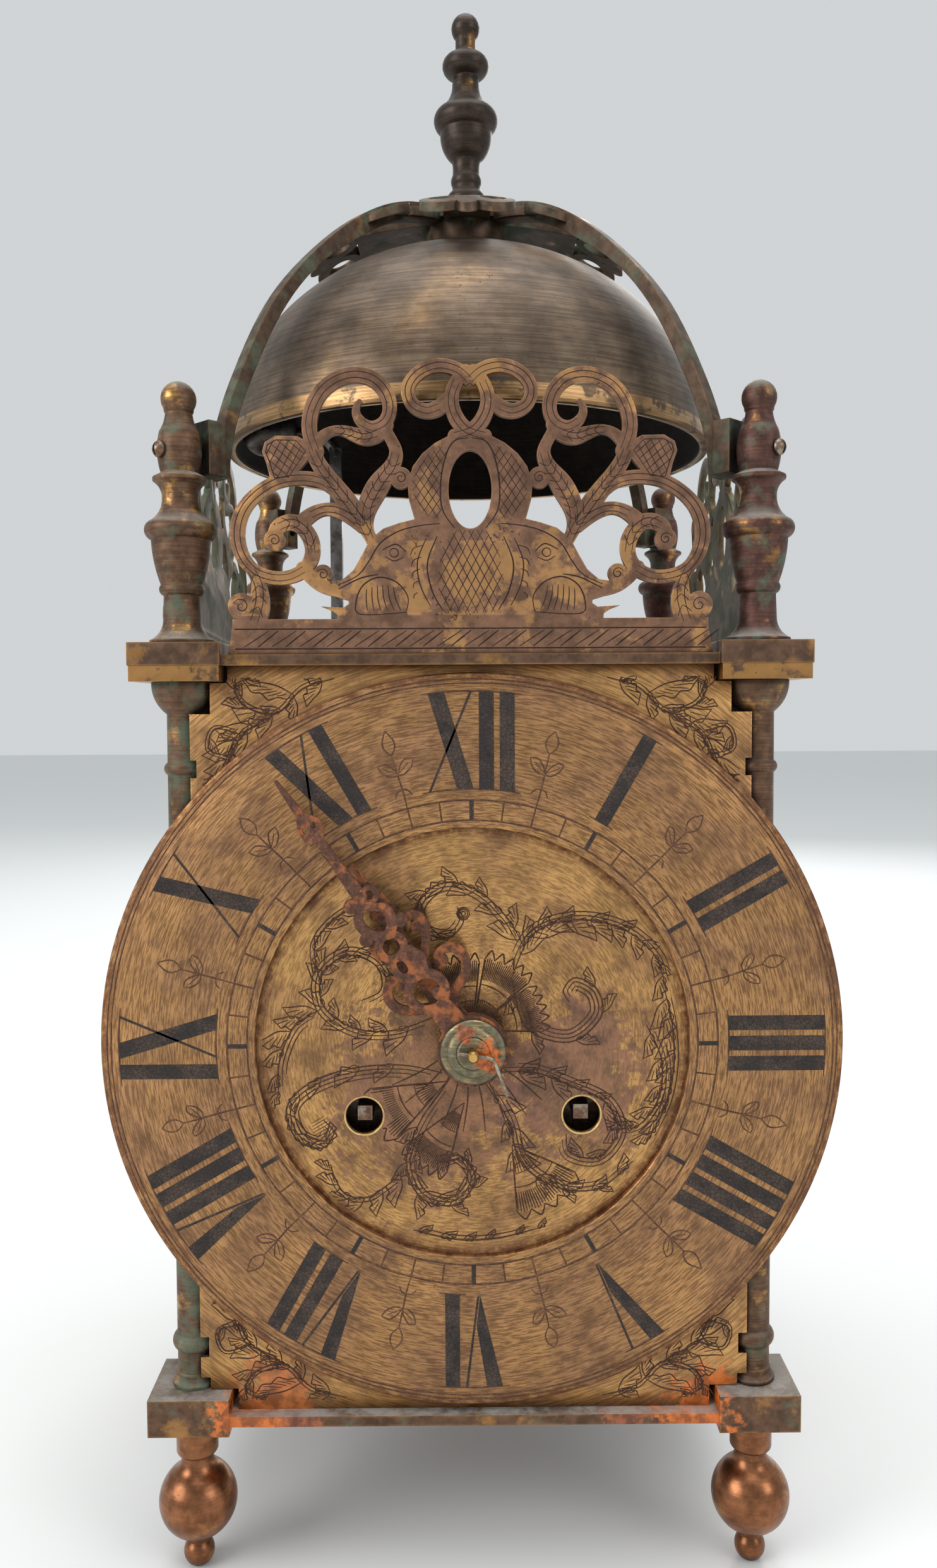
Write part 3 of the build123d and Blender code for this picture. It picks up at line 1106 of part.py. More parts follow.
def warning_wheel():
    turn = mesh_turn(PIN_WHEEL, PIN_TEETH, 0, WARNING, WARNING_LEAVES)
    part = arbor(WARNING, 1.0) + pinion(WARNING, WARNING_LEAVES, PIN_MODULE, turn, 42.6, 46.1)
    return part + wheel(WARNING, WARNING_TEETH, WARNING_MODULE, 0, 29.6, 30.8)


def fly():
    """Fast arbor with a broad vane that brakes the strike train in the air."""
    turn = mesh_turn(WARNING, WARNING_TEETH, 0, FLY, FLY_LEAVES)
    part = arbor(FLY, 0.75) + pinion(FLY, FLY_LEAVES, WARNING_MODULE, turn, 29.1, 31.3)
    return part + placed(Rectangle(18, 0.6) + Circle(1.5), FLY, 17.6, 27.6)


def hammer():
    """Arbor through the movement, upright stem behind it, head inside the bell and tail by the pins."""
    across, up = HAMMER
    part = inner_rod(HAMMER, 1.3, FRONT_PLATE[1] + GAP, 61.1) + inner_rod(
        HAMMER, PIVOT_RADIUS, FRONT_PLATE[0], 20,
    )
    y = DIAL_BACK_Y + 59.1
    low, high = DIAL_Z + up, BELL_Z + 1.0
    part += box((across - STEM_HALF, across + STEM_HALF), (y - 1.5, y + 1.5), (low - 3, high))
    part += placed(Circle(3.4), HAMMER, 57.6, 60.6)
    level = 5.0 / (BELL_HEIGHT - BELL_WALL)
    reach = sqrt(((BELL_RADIUS - BELL_WALL) ** 2) * (1 - level**2) - y**2)
    face = -(reach - 1.5)
    arm = [(across, y, high - 2.5), (across - 3, y, BELL_Z + 3.6), (across - 13.5, y, BELL_Z + 5.0)]
    path = Spline(*arm, tangents=[(0, 0, 1), (-1, 0, 0)])
    part += sweep(Plane(path @ 0, z_dir=path % 0) * Circle(STEM_HALF), path=path)
    head = turned([(0, 0), (4.4, 0), (6.0, 2.0, 5.6, 0.7), (6.0, 9.0), (0, 15.0, ROUND)])
    part += Pos(face + 15.0, y, BELL_Z + 5.0) * Rot(0, -90, 0) * head
    toward = atan2(PIN_WHEEL[1] - up, PIN_WHEEL[0] - across)
    reach = hypot(PIN_WHEEL[1] - up, PIN_WHEEL[0] - across) - PIN_CIRCLE - PIN_RADIUS - TAIL_GAP
    tail = polygon((0, -1.6), (reach - 1.2, -0.9), (reach, 0), (reach - 1.2, 0.9), (0, 1.6)) + Circle(2.6)
    return part + placed(Rot(0, 0, degrees(toward)) * tail, HAMMER, 47.2, 48.8)


# ---- write every node ----
def nodes():
    made = {"base_plate": base_plate(), "top_plate": top_plate()}
    for corner, (x, y) in CORNERS.items():
        made["pillar_" + corner] = Pos(x, y) * pillar()
        made["foot_" + corner] = Pos(x, y) * foot()
        made["finial_" + corner] = drilled_finial(x, y)
    made["bell"] = bell()
    made["bell_strap"] = bell_strap()
    made["strap_screws"] = strap_screws()
    made["top_finial"] = top_finial()
    made["bell_nut"] = bell_nut()
    made["fret_front"], made["fret_left"], made["fret_right"] = fret_sides(fret())
    made["fret_screws"] = fret_screws()
    made["dial_plate"] = dial_plate()
    made["chapter_ring"] = chapter_ring()
    made["dial_feet"] = dial_feet()
    made["hour_hand"] = hour_hand()
    made["minute_hand"] = minute_hand()
    made["hand_collet"] = hand_collet()
    made["hand_pin"] = hand_pin()
    side, knob = door(), door_knob(KNOB_REACH)
    made["door_right"], made["door_left"], made["back_door"] = side, to_left(side), to_back(side)
    back_reach = -(DIAL_BACK_Y - 14.0) - DOOR_OUT
    made["knob_right"], made["knob_left"], made["knob_back"] = knob, to_left(knob), to_back(door_knob(back_reach))
    made["movement_front_plate"] = movement_front_plate()
    made["movement_back_plate"] = movement_back_plate()
    made["movement_pillars"] = movement_pillars()
    made["movement_brackets"] = movement_brackets()
    made["going_barrel"], made["strike_barrel"] = going_barrel(), strike_barrel()
    made["going_winding_arbor"] = winding_arbor(GOING, 1, 19.6, 41.6)
    made["strike_winding_arbor"] = winding_arbor(STRIKE, -1, 17.6, 38.6)
    made["going_click"], made["strike_click"] = click(1), click(-1)
    made["second_wheel"] = second_wheel()
    made["centre_wheel"] = centre_wheel()
    made["third_wheel"] = third_wheel()
    made["escape_wheel"] = escape_wheel()
    made["pallet_anchor"] = pallet_anchor()
    made["pendulum"] = pendulum()
    made["pendulum_cock"] = pendulum_cock()
    made["cannon_pinion"] = cannon_pinion()
    made["minute_wheel"] = minute_wheel()
    made["hour_wheel"] = hour_wheel()
    made["pin_wheel"] = pin_wheel()
    made["warning_wheel"] = warning_wheel()
    made["fly"] = fly()
    made["hammer"] = hammer()
    return made


os.makedirs("parts", exist_ok=True)
for name, shape in nodes().items():
    export_step(shape, "parts/" + name + ".step")
    print(name, len(shape.solids()), "solids", round(sum(s.volume for s in shape.solids())), "mm3")
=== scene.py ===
"""Brass lantern clock: turned pieces, eased edges, inlaid numerals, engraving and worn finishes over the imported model.

Sizes are in millimetres unless a name says otherwise. X runs right, the dial faces -Y and Z runs up from the feet.
"""

import json
import logging
import math
import random
from dataclasses import dataclass, field
from enum import Enum
from typing import Any, Callable

import bmesh
import bpy
from mathutils import Matrix, Vector

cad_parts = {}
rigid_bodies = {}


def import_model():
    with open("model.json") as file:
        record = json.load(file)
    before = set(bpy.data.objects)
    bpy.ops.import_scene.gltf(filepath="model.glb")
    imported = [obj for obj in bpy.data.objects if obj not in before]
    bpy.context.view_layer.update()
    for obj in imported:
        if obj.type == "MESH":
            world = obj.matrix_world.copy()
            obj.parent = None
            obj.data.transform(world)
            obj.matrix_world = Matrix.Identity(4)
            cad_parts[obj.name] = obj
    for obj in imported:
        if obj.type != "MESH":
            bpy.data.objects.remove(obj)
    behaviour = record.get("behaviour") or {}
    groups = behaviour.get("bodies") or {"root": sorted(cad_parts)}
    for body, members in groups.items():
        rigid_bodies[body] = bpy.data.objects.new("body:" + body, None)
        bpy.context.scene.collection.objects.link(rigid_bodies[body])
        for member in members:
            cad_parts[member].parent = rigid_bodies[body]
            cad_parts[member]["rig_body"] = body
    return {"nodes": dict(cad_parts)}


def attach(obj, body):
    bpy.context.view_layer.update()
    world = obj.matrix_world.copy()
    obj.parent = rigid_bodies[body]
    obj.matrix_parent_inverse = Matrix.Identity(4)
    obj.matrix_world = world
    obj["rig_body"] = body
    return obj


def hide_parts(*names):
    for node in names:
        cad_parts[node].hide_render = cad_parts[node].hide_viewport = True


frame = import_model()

LOG = logging.getLogger("lantern_clock")
MM = 0.001
CORNER = 66.0  # pillar axes from the middle
FOOT_TOP = 36.4  # where a foot meets its block
BLOCK_TOP = 45.1  # where a pillar stands
PLATE_TOP = 216.2  # where a fret stands
FINIAL_FOOT = 218.9
DIAL_Z = 127.05  # the dial's middle
DIAL_FRONT = -70.8
RING_FRONT = -72.6
FRET_FRONT = -73.4
BELL_RIM = 274.1
STRAP_TOP = 339.5
WINDING = ((25.1, -17.0), (-25.1, -17.0))  # winding holes from the dial's middle
HOUR_TURN = 30  # degrees from one hour to the next
NOTHING = 1e-6  # a radius or a rise below it counts as none
SAME_SCALE = 1e-9  # a change of scale below it counts as none
ONE_SPOT = 1e-7  # in metres: turned vertices nearer than this are one
MERGE = 2e-6  # in metres: packed vertices nearer than this are one
FLAT = 0.6  # in degrees: packed triangles that meet flatter than this are one face
EASED = 40.0  # in degrees: edges sharper than this are rounded
PACKED_EASED = 38.0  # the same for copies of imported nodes
SMOOTH = 35.0  # in degrees: edges sharper than this stay sharp in the shading
LIP_SMOOTH = 50.0  # the same for the bell's and the ring's lips

Point = tuple[float, float]
Colour = tuple[float, float, float]
Body = bpy.types.Object


def display(red: int, green: int, blue: int) -> Colour:
    """Linear colour of a 0 to 255 display colour."""
    return tuple(
        c / 12.92 if c <= 0.04045 else ((c + 0.055) / 1.055) ** 2.4
        for c in (red / 255, green / 255, blue / 255)
    )


# ---- the bench: selecting, entering edit mode, finishing ----
def clear_bench() -> None:
    """Leave edit mode and deselect every object."""
    if bpy.context.mode != "OBJECT":
        bpy.ops.object.mode_set(mode="OBJECT")
    bpy.ops.object.select_all(action="DESELECT")


def take(piece: Body) -> Body:
    """Make a piece the only selected and active one.

    Args:
        piece: the piece.

    Returns:
        The same piece.
    """
    clear_bench()
    piece.select_set(True)
    bpy.context.view_layer.objects.active = piece
    return piece


def open_mesh(piece: Body) -> None:
    """Enter edit mode on a piece with all of it selected.

    Args:
        piece: the piece.
    """
    take(piece)
    bpy.ops.object.mode_set(mode="EDIT")
    bpy.ops.mesh.select_all(action="SELECT")


def close_mesh() -> None:
    """Leave edit mode."""
    bpy.ops.object.mode_set(mode="OBJECT")


def place(piece: Body, matrix: Matrix) -> Body:
    """Move a piece by moving its mesh, so that its object stays at the origin.

    Args:
        piece: the piece.
        matrix: the move.

    Returns:
        The same piece.
    """
    piece.data.transform(matrix)
    piece.data.update()
    return piece


def twin(piece: Body, name: str, matrix: Matrix) -> Body:
    """Copy a piece with its own mesh.

    Args:
        piece: the piece to copy.
        name: the copy's name.
        matrix: where the copy goes.

    Returns:
        The copy.
    """
    copy = piece.copy()
    copy.data = piece.data.copy()
    copy.name = name
    bpy.context.scene.collection.objects.link(copy)
    return place(copy, matrix)


def join(pieces: list[Body], name: str) -> Body:
    """Join pieces into the first of them.

    Args:
        pieces: the pieces, the first of which stays.
        name: the joined piece's name.

    Returns:
        The joined piece.
    """
    take(pieces[0])
    for piece in pieces[1:]:
        piece.select_set(True)
    if len(pieces) > 1:
        bpy.ops.object.join()
    pieces[0].name = name
    return pieces[0]


def smooth(piece: Body, angle: float = SMOOTH) -> Body:
    """Smooth a piece's shading, but not over its sharp edges.

    Args:
        piece: the piece.
        angle: edges sharper than this, in degrees, stay sharp.

    Returns:
        The same piece.
    """
    take(piece)
    bpy.ops.object.shade_smooth_by_angle(angle=math.radians(angle))
    return piece


def ease(piece: Body, width: float, segments: int = 2, angle: float = EASED) -> Body:
    """Round a piece's sharp edges and smooth the rest.

    Args:
        piece: the piece.
        width: width of the rounding.
        segments: faces across it.
        angle: edges sharper than this, in degrees, are rounded.

    Returns:
        The same piece.
    """
    take(piece)
    bevel = piece.modifiers.new("Eased edges", "BEVEL")
    bevel.width = width * MM
    bevel.segments = segments
    bevel.limit_method = "ANGLE"
    bevel.angle_limit = math.radians(angle)
    bevel.use_clamp_overlap = True
    bevel.harden_normals = False
    bpy.ops.object.modifier_apply(modifier=bevel.name)
    return smooth(piece)


def turn(name: str, outline: list[Point], sides: int = 72) -> Body:
    """Turn a piece about Z: a ring is extruded from level to level and resized at each.

    Args:
        name: the piece's name.
        outline: (radius, height) points from one end to the other, or closed on its first point.
        sides: faces round the piece.

    Returns:
        The turned piece, standing on its own axis at the origin.
    """
    closed = outline[0] == outline[-1]
    capped = outline[0][0] < NOTHING
    rings = outline[1:] if capped else outline
    clear_bench()
    radius, height = rings[0]
    bpy.ops.mesh.primitive_circle_add(vertices=sides, radius=radius * MM, location=(0, 0, height * MM))
    piece = bpy.context.object
    piece.name = name
    bpy.ops.object.transform_apply(location=True)
    open_mesh(piece)
    for (wide, low), (next_wide, high) in zip(rings, rings[1:]):
        flat_end = next_wide < NOTHING and abs(high - low) < NOTHING
        if flat_end:
            bpy.ops.mesh.edge_face_add()
            break
        bpy.ops.mesh.extrude_region_move(TRANSFORM_OT_translate={"value": (0, 0, (high - low) * MM)})
        if next_wide < NOTHING:
            bpy.ops.mesh.merge(type="CENTER")
            break
        scale = next_wide / wide
        if abs(scale - 1) > SAME_SCALE:
            bpy.ops.transform.resize(value=(scale, scale, 1), center_override=(0, 0, high * MM))
    if capped:
        wide, low = radius * MM, height * MM
        select_verts(piece, lambda at: abs(at.z - low) < ONE_SPOT and abs(at.xy.length - wide) < ONE_SPOT)
        bpy.ops.mesh.edge_face_add()
    bpy.ops.mesh.select_all(action="SELECT")
    if closed:
        bpy.ops.mesh.remove_doubles(threshold=ONE_SPOT)
    bpy.ops.mesh.normals_make_consistent(inside=False)
    close_mesh()
    return piece


def select_verts(piece: Body, wanted: Callable[[Vector], bool]) -> None:
    """In edit mode, select the vertices whose place passes a test, and nothing else.

    Args:
        piece: the piece.
        wanted: tells whether a vertex at a place is wanted.
    """
    bpy.ops.mesh.select_all(action="DESELECT")
    bpy.ops.mesh.select_mode(type="VERT")
    mesh = bmesh.from_edit_mesh(piece.data)
    for vert in mesh.verts:
        vert.select = wanted(vert.co)
    mesh.select_flush(True)
    bmesh.update_edit_mesh(piece.data)


def eased_copy(node: str, width: float, segments: int = 2) -> Body:
    """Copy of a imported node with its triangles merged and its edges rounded, standing for that node.

    Args:
        node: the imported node.
        width: width of the rounding.
        segments: faces across it.

    Returns:
        The new piece.
    """
    source = frame["nodes"][node]
    piece = bpy.data.objects.new(node + "_eased", source.data.copy())
    bpy.context.scene.collection.objects.link(piece)
    take(piece)
    bpy.ops.mesh.customdata_custom_splitnormals_clear()
    open_mesh(piece)
    bpy.ops.mesh.remove_doubles(threshold=MERGE)
    bpy.ops.mesh.dissolve_limited(angle_limit=math.radians(FLAT), delimit={"NORMAL"})
    close_mesh()
    return ease(piece, width, segments, PACKED_EASED)


def bow(points: list[tuple], steps: int = 7) -> list[Point]:
    """Outline points from corners and arcs.

    Args:
        points: (radius, height) corners; four numbers reach the corner by an arc through the last two, and a third
            entry "round" by an arc centred on the axis.
        steps: pieces in each arc.

    Returns:
        The outline as (radius, height) points.
    """
    line: list[Point] = [points[0][:2]]
    for point in points[1:]:
        a, b = line[-1], (float(point[0]), float(point[1]))
        if len(point) == 2:
            line.append(b)
            continue
        if len(point) == 3:
            centre = (0.0, (a[0] ** 2 + a[1] ** 2 - b[0] ** 2 - b[1] ** 2) / (2 * (a[1] - b[1])))
            sweep_from = math.atan2(a[1] - centre[1], a[0])
            sweep_to = math.atan2(b[1] - centre[1], b[0])
        else:
            m = point[2:]
            rows = ((2 * (m[0] - a[0]), 2 * (m[1] - a[1])), (2 * (b[0] - a[0]), 2 * (b[1] - a[1])))
            right = (
                m[0] ** 2 + m[1] ** 2 - a[0] ** 2 - a[1] ** 2, b[0] ** 2 + b[1] ** 2 - a[0] ** 2 - a[1] ** 2
            )
            det = rows[0][0] * rows[1][1] - rows[0][1] * rows[1][0]
            centre = (
                (right[0] * rows[1][1] - right[1] * rows[0][1]) / det,
                (rows[0][0] * right[1] - rows[1][0] * right[0]) / det,
            )
            sweep_from = math.atan2(a[1] - centre[1], a[0] - centre[0])
            sweep_to = math.atan2(b[1] - centre[1], b[0] - centre[0])
            through = math.atan2(m[1] - centre[1], m[0] - centre[0])
            turn_to, turn_through = (sweep_to - sweep_from) % math.tau, (through - sweep_from) % math.tau
            sweep_to = sweep_from + (turn_to if turn_through < turn_to else turn_to - math.tau)
        reach = math.hypot(a[0] - centre[0], a[1] - centre[1])
        for i in range(1, steps + 1):
            angle = sweep_from + (sweep_to - sweep_from) * i / steps
            line.append((max(0.0, centre[0] + reach * math.cos(angle)), centre[1] + reach * math.sin(angle)))
        line[-1] = b
    return line


# ---- shader graphs ----
class Graph:
    """A node tree while it is being wired."""

    def __init__(self, tree: bpy.types.NodeTree) -> None:
        """Keep the tree."""
        self.tree = tree

    def add(self, kind: str, inputs: dict[Any, Any] | None = None, **settings: Any) -> bpy.types.Node:
        """Add a node.

        Args:
            kind: the node's type without its ShaderNode prefix.
            inputs: socket name or number to a value or to an output that feeds it.
            settings: the node's own settings.

        Returns:
            The node.
        """
        node = self.tree.nodes.new("ShaderNode" + kind)
        for key, value in settings.items():
            setattr(node, key, value)
        self.feed(node, inputs or {})
        return node

    def calc(self, operation: str, a: Any, b: Any = 0.0, clamp: bool = False) -> bpy.types.NodeSocket:
        """Result of one arithmetic step."""
        return self.add("Math", {0: a, 1: b}, operation=operation, use_clamp=clamp).outputs[0]

    def blend(self, share: Any, a: Any, b: Any) -> bpy.types.NodeSocket:
        """Colour between two colours."""
        a, b = [(*c, 1.0) if isinstance(c, tuple) and len(c) == 3 else c for c in (a, b)]
        return self.add("Mix", {0: share, 6: a, 7: b}, data_type="RGBA").outputs[2]

    def span(
        self, value: Any, low: Any, high: Any, to_low: Any = 0.0, to_high: Any = 1.0
    ) -> bpy.types.NodeSocket:
        """Value carried smoothly from one range to another."""
        inputs = {"Value": value, "From Min": low, "From Max": high, "To Min": to_low, "To Max": to_high}
        return self.add("MapRange", inputs, interpolation_type="SMOOTHSTEP").outputs[0]

    def noise(
        self, vector: Any, scale: Any, detail: float = 4.0, rough: float = 0.55
    ) -> bpy.types.NodeSocket:
        """Fractal noise, about 0.5 in the middle."""
        return self.add(
            "TexNoise", {"Vector": vector, "Scale": scale, "Detail": detail, "Roughness": rough}
        ).outputs[0]

    def use(self, effect: "Effect", **inputs: Any) -> bpy.types.NodeSocket:
        """Place an effect's group here.

        Args:
            effect: the effect.
            inputs: value, or the output that feeds it, for each of its sockets.

        Returns:
            Its first output.
        """
        node = self.tree.nodes.new("ShaderNodeGroup")
        node.node_tree = SHELF.get(effect)
        self.feed(node, inputs)
        return node.outputs[0]

    def feed(self, node: bpy.types.Node, inputs: dict[Any, Any]) -> None:
        """Set a node's sockets.

        Args:
            node: the node.
            inputs: socket name or number to a value or to an output that feeds it.
        """
        for key, value in inputs.items():
            if isinstance(value, bpy.types.NodeSocket):
                self.tree.links.new(value, node.inputs[key])
            else:
                node.inputs[key].default_value = value


class Effect(Enum):
    """Shared effects, each a node group made once."""

    EDGES = "Worn edges"
    HOLLOWS = "Dirt in hollows"
    PATCHES = "Patches"
    SPECKS = "Specks"
    TURNED = "Turning lines"
    ROUND = "Round brush lines"
    DUST = "Settled dust"
    STAIN = "Stain"
    BAND = "Level band"
    CRUST = "Crust round a rim"


class EffectShelf:
    """Makes each effect group the first time that a finish asks for it."""

    def __init__(self) -> None:
        """Start with an empty shelf."""
        self.groups: dict[Effect, bpy.types.NodeTree] = {}

    def get(self, effect: Effect) -> bpy.types.NodeTree:
        """The group of an effect.

        Args:
            effect: the effect.

        Returns:
            Its group.
        """
        if effect not in self.groups:
            self.groups[effect] = getattr(self, "make_" + effect.name.lower())(effect.value)
        return self.groups[effect]

    @staticmethod
    def start(name: str, inputs: dict[str, float | tuple], output: str = "Mask") -> tuple[Graph, Any, Any]:
        """Start a group.

        Args:
            name: the group's name.
            inputs: each input's name and resting value; a three-number value makes a vector.
            output: the output's name.

        Returns:
            The graph, its input node's outputs and the output node's only socket.
        """
        tree = bpy.data.node_groups.new(name, "ShaderNodeTree")
        for key, value in inputs.items():
            kind = "NodeSocketVector" if isinstance(value, tuple) else "NodeSocketFloat"
            socket = tree.interface.new_socket(name=key, in_out="INPUT", socket_type=kind)
            socket.default_value = value
        tree.interface.new_socket(name=output, in_out="OUTPUT", socket_type="NodeSocketFloat")
        source, sink = tree.nodes.new("NodeGroupInput"), tree.nodes.new("NodeGroupOutput")
        return Graph(tree), source.outputs, sink.inputs[0]

    def make_edges(self, name: str) -> bpy.types.NodeTree:
        """Mask of rubbed edges, broken up by noise.

        Args:
            name: the group's name.

        Returns:
            The group.
        """
        g, given, out = self.start(name, {"Vector": (0, 0, 0), "Reach": 0.5, "Patch": 4.0, "Strength": 1.0})
        bevel = g.add("Bevel", {"Radius": g.calc("MULTIPLY", given["Reach"], MM)}, samples=4)
        flat = g.add("NewGeometry").outputs["Normal"]
        dot = g.add("VectorMath", {0: bevel.outputs[0], 1: flat}, operation="DOT_PRODUCT").outputs["Value"]
        edge = g.span(g.calc("SUBTRACT", 1.0, dot), 0.005, 0.12)
        broken = g.span(g.noise(given["Vector"], g.calc("DIVIDE", 1.0, given["Patch"])), 0.36, 0.6, 0.15, 1.0)
        g.tree.links.new(g.calc("MULTIPLY", g.calc("MULTIPLY", edge, broken), given["Strength"], True), out)
        return g.tree

    def make_hollows(self, name: str) -> bpy.types.NodeTree:
        """Mask of places closed in by other surfaces, used for dirt and painted shade in hollows.

        Args:
            name: the group's name.

        Returns:
            The group.
        """
        g, given, out = self.start(name, {"Reach": 3.0, "Strength": 1.0})
        shade = g.add(
            "AmbientOcclusion", {"Distance": g.calc("MULTIPLY", given["Reach"], MM)}, samples=4
        ).outputs["AO"]
        g.tree.links.new(g.calc("MULTIPLY", g.span(shade, 0.95, 0.35), given["Strength"], True), out)
        return g.tree

    def make_patches(self, name: str) -> bpy.types.NodeTree:
        """Ragged patches that cover about a given share of the surface.

        Args:
            name: the group's name.

        Returns:
            The group.
        """
        g, given, out = self.start(name, {"Vector": (0, 0, 0), "Size": 8.0, "Cover": 0.5, "Soft": 0.06})
        value = g.noise(given["Vector"], g.calc("DIVIDE", 1.0, given["Size"]), 7.0, 0.62)
        middle = g.add("Math", {0: given["Cover"], 1: -0.36, 2: 0.68}, operation="MULTIPLY_ADD").outputs[0]
        low, high = g.calc("SUBTRACT", middle, given["Soft"]), g.calc("ADD", middle, given["Soft"])
        g.tree.links.new(g.span(value, low, high), out)
        return g.tree

    def make_specks(self, name: str) -> bpy.types.NodeTree:
        """Small spots gathered in loose groups.

        Args:
            name: the group's name.

        Returns:
            The group.
        """
        g, given, out = self.start(name, {"Vector": (0, 0, 0), "Size": 0.8, "Cover": 0.3})
        fine = g.noise(given["Vector"], g.calc("DIVIDE", 1.0, given["Size"]), 2.0)
        wide = g.noise(given["Vector"], g.calc("DIVIDE", 0.07, given["Size"]), 3.0)
        limit = g.calc("SUBTRACT", 0.86, g.calc("MULTIPLY", given["Cover"], 0.28))
        level = g.calc("ADD", fine, g.calc("MULTIPLY", g.calc("SUBTRACT", wide, 0.5), 0.55))
        g.tree.links.new(g.span(level, limit, g.calc("ADD", limit, 0.05)), out)
        return g.tree

    def make_turned(self, name: str) -> bpy.types.NodeTree:
        """Fine lines round an upright axis, with slow changes along each.

        Args:
            name: the group's name.

        Returns:
            The group.
        """
        g, given, out = self.start(name, {"Vector": (0, 0, 0), "Spacing": 0.5}, "Line")
        stretch = g.add(
            "VectorMath", {0: given["Vector"], 1: (0.03, 0.03, 1.0)}, operation="MULTIPLY"
        ).outputs[0]
        g.tree.links.new(g.noise(stretch, g.calc("DIVIDE", 1.0, given["Spacing"]), 3.0, 0.7), out)
        return g.tree

    def make_round(self, name: str) -> bpy.types.NodeTree:
        """Short brush lines round the dial's middle, for a vector centred there.

        Args:
            name: the group's name.

        Returns:
            The group.
        """
        g, given, out = self.start(name, {"Vector": (0, 0, 0), "Spacing": 0.5, "Around": 9.0}, "Line")
        flat = g.add("VectorMath", {0: given["Vector"], 1: (1, 0, 1)}, operation="MULTIPLY").outputs[0]
        reach = g.add("VectorMath", {0: flat}, operation="LENGTH").outputs["Value"]
        heading = g.add("VectorMath", {0: flat}, operation="NORMALIZE").outputs[0]
        wide = g.add("VectorMath", {0: heading, "Scale": given["Around"]}, operation="SCALE").outputs[0]
        depth = g.add("CombineXYZ", {"Y": g.calc("DIVIDE", reach, given["Spacing"])}).outputs[0]
        both = g.add("VectorMath", {0: wide, 1: depth}, operation="ADD").outputs[0]
        g.tree.links.new(g.noise(both, 1.0, 4.0, 0.65), out)
        return g.tree

    def make_dust(self, name: str) -> bpy.types.NodeTree:
        """Grey dust on faces that look up.

        Args:
            name: the group's name.

        Returns:
            The group.
        """
        g, given, out = self.start(name, {"Vector": (0, 0, 0), "Strength": 1.0})
        up = g.add("SeparateXYZ", {0: g.add("TexCoord").outputs["Normal"]}).outputs["Z"]
        loose = g.span(g.noise(given["Vector"], 0.16, 6.0, 0.7), 0.3, 0.62, 0.25, 1.0)
        facing = g.span(up, 0.35, 0.95)
        g.tree.links.new(g.calc("MULTIPLY", g.calc("MULTIPLY", facing, loose), given["Strength"], True), out)
        return g.tree

    def make_stain(self, name: str) -> bpy.types.NodeTree:
        """Ragged stain round a place.

        Args:
            name: the group's name.

        Returns:
            The group.
        """
        g, given, out = self.start(name, {"Vector": (0, 0, 0), "Centre": (0, 0, 0), "Radius": 8.0})
        away = g.add(
            "VectorMath", {0: given["Vector"], 1: given["Centre"]}, operation="DISTANCE"
        ).outputs["Value"]
        ragged = g.calc("MULTIPLY", g.calc("SUBTRACT", g.noise(given["Vector"], 0.32, 6.0, 0.65), 0.5), 2.6)
        level = g.calc("ADD", g.calc("DIVIDE", away, given["Radius"]), ragged)
        g.tree.links.new(g.span(level, 1.0, 0.72), out)
        return g.tree

    def make_band(self, name: str) -> bpy.types.NodeTree:
        """Mask between two levels, with a soft ragged border.

        Args:
            name: the group's name.

        Returns:
            The group.
        """
        g, given, out = self.start(name, {"Vector": (0, 0, 0), "Low": 0.0, "High": 1.0, "Soft": 0.4})
        level = g.add("SeparateXYZ", {0: given["Vector"]}).outputs["Z"]
        above = g.span(level, g.calc("SUBTRACT", given["Low"], given["Soft"]), given["Low"])
        below = g.span(level, g.calc("ADD", given["High"], given["Soft"]), given["High"])
        g.tree.links.new(g.calc("MULTIPLY", above, below), out)
        return g.tree

    def make_crust(self, name: str) -> bpy.types.NodeTree:
        """Crust that thickens between two radii round the dial's middle; on the dial plate it also stands for the
        painted shadow of the hour ring's inner edge.

        Args:
            name: the group's name.

        Returns:
            The group.
        """
        g, given, out = self.start(name, {"Vector": (0, 0, 0), "Start": 46.0, "End": 50.0})
        flat = g.add("VectorMath", {0: given["Vector"], 1: (1, 0, 1)}, operation="MULTIPLY").outputs[0]
        reach = g.add("VectorMath", {0: flat}, operation="LENGTH").outputs["Value"]
        past = g.span(reach, g.calc("ADD", given["End"], 2.0), g.calc("ADD", given["End"], 1.0))
        near = g.calc("MULTIPLY", g.span(reach, given["Start"], given["End"]), past)
        ragged = g.span(g.noise(given["Vector"], 0.5, 6.0, 0.7), 0.62, 0.4)
        g.tree.links.new(g.calc("MULTIPLY", near, g.calc("MULTIPLY", ragged, 0.85)), out)
        return g.tree


SHELF = EffectShelf()


def open_finish(
    name: str, shift: tuple[float, ...] = (0.0, 0.0, 0.0)
) -> tuple[bpy.types.Material, Graph, Any]:
    """Start a finish.

    Args:
        name: the material's name.
        shift: added to the place, in millimetres.

    Returns:
        The material, its empty graph and the place on the object in millimetres.
    """
    material = bpy.data.materials.new(name)
    material.use_nodes = True
    g = Graph(material.node_tree)
    g.tree.nodes.clear()
    place_in = {"Vector": g.add("TexCoord").outputs["Object"], "Scale": (1 / MM,) * 3, "Location": shift}
    return material, g, g.add("Mapping", place_in).outputs[0]


# Brown of the rim crust; on the dial plate the same band is also painted shadow of the hour ring's inner edge.
CRUST_AND_SHADE_BROWN = display(98, 54, 38)
VERDIGRIS = display(86, 104, 84)
DUST_GREY = display(150, 146, 140)
# Darkest rust in hollows, partly painted shade.
HOLLOW_RUST_AND_SHADE = display(44, 30, 30)


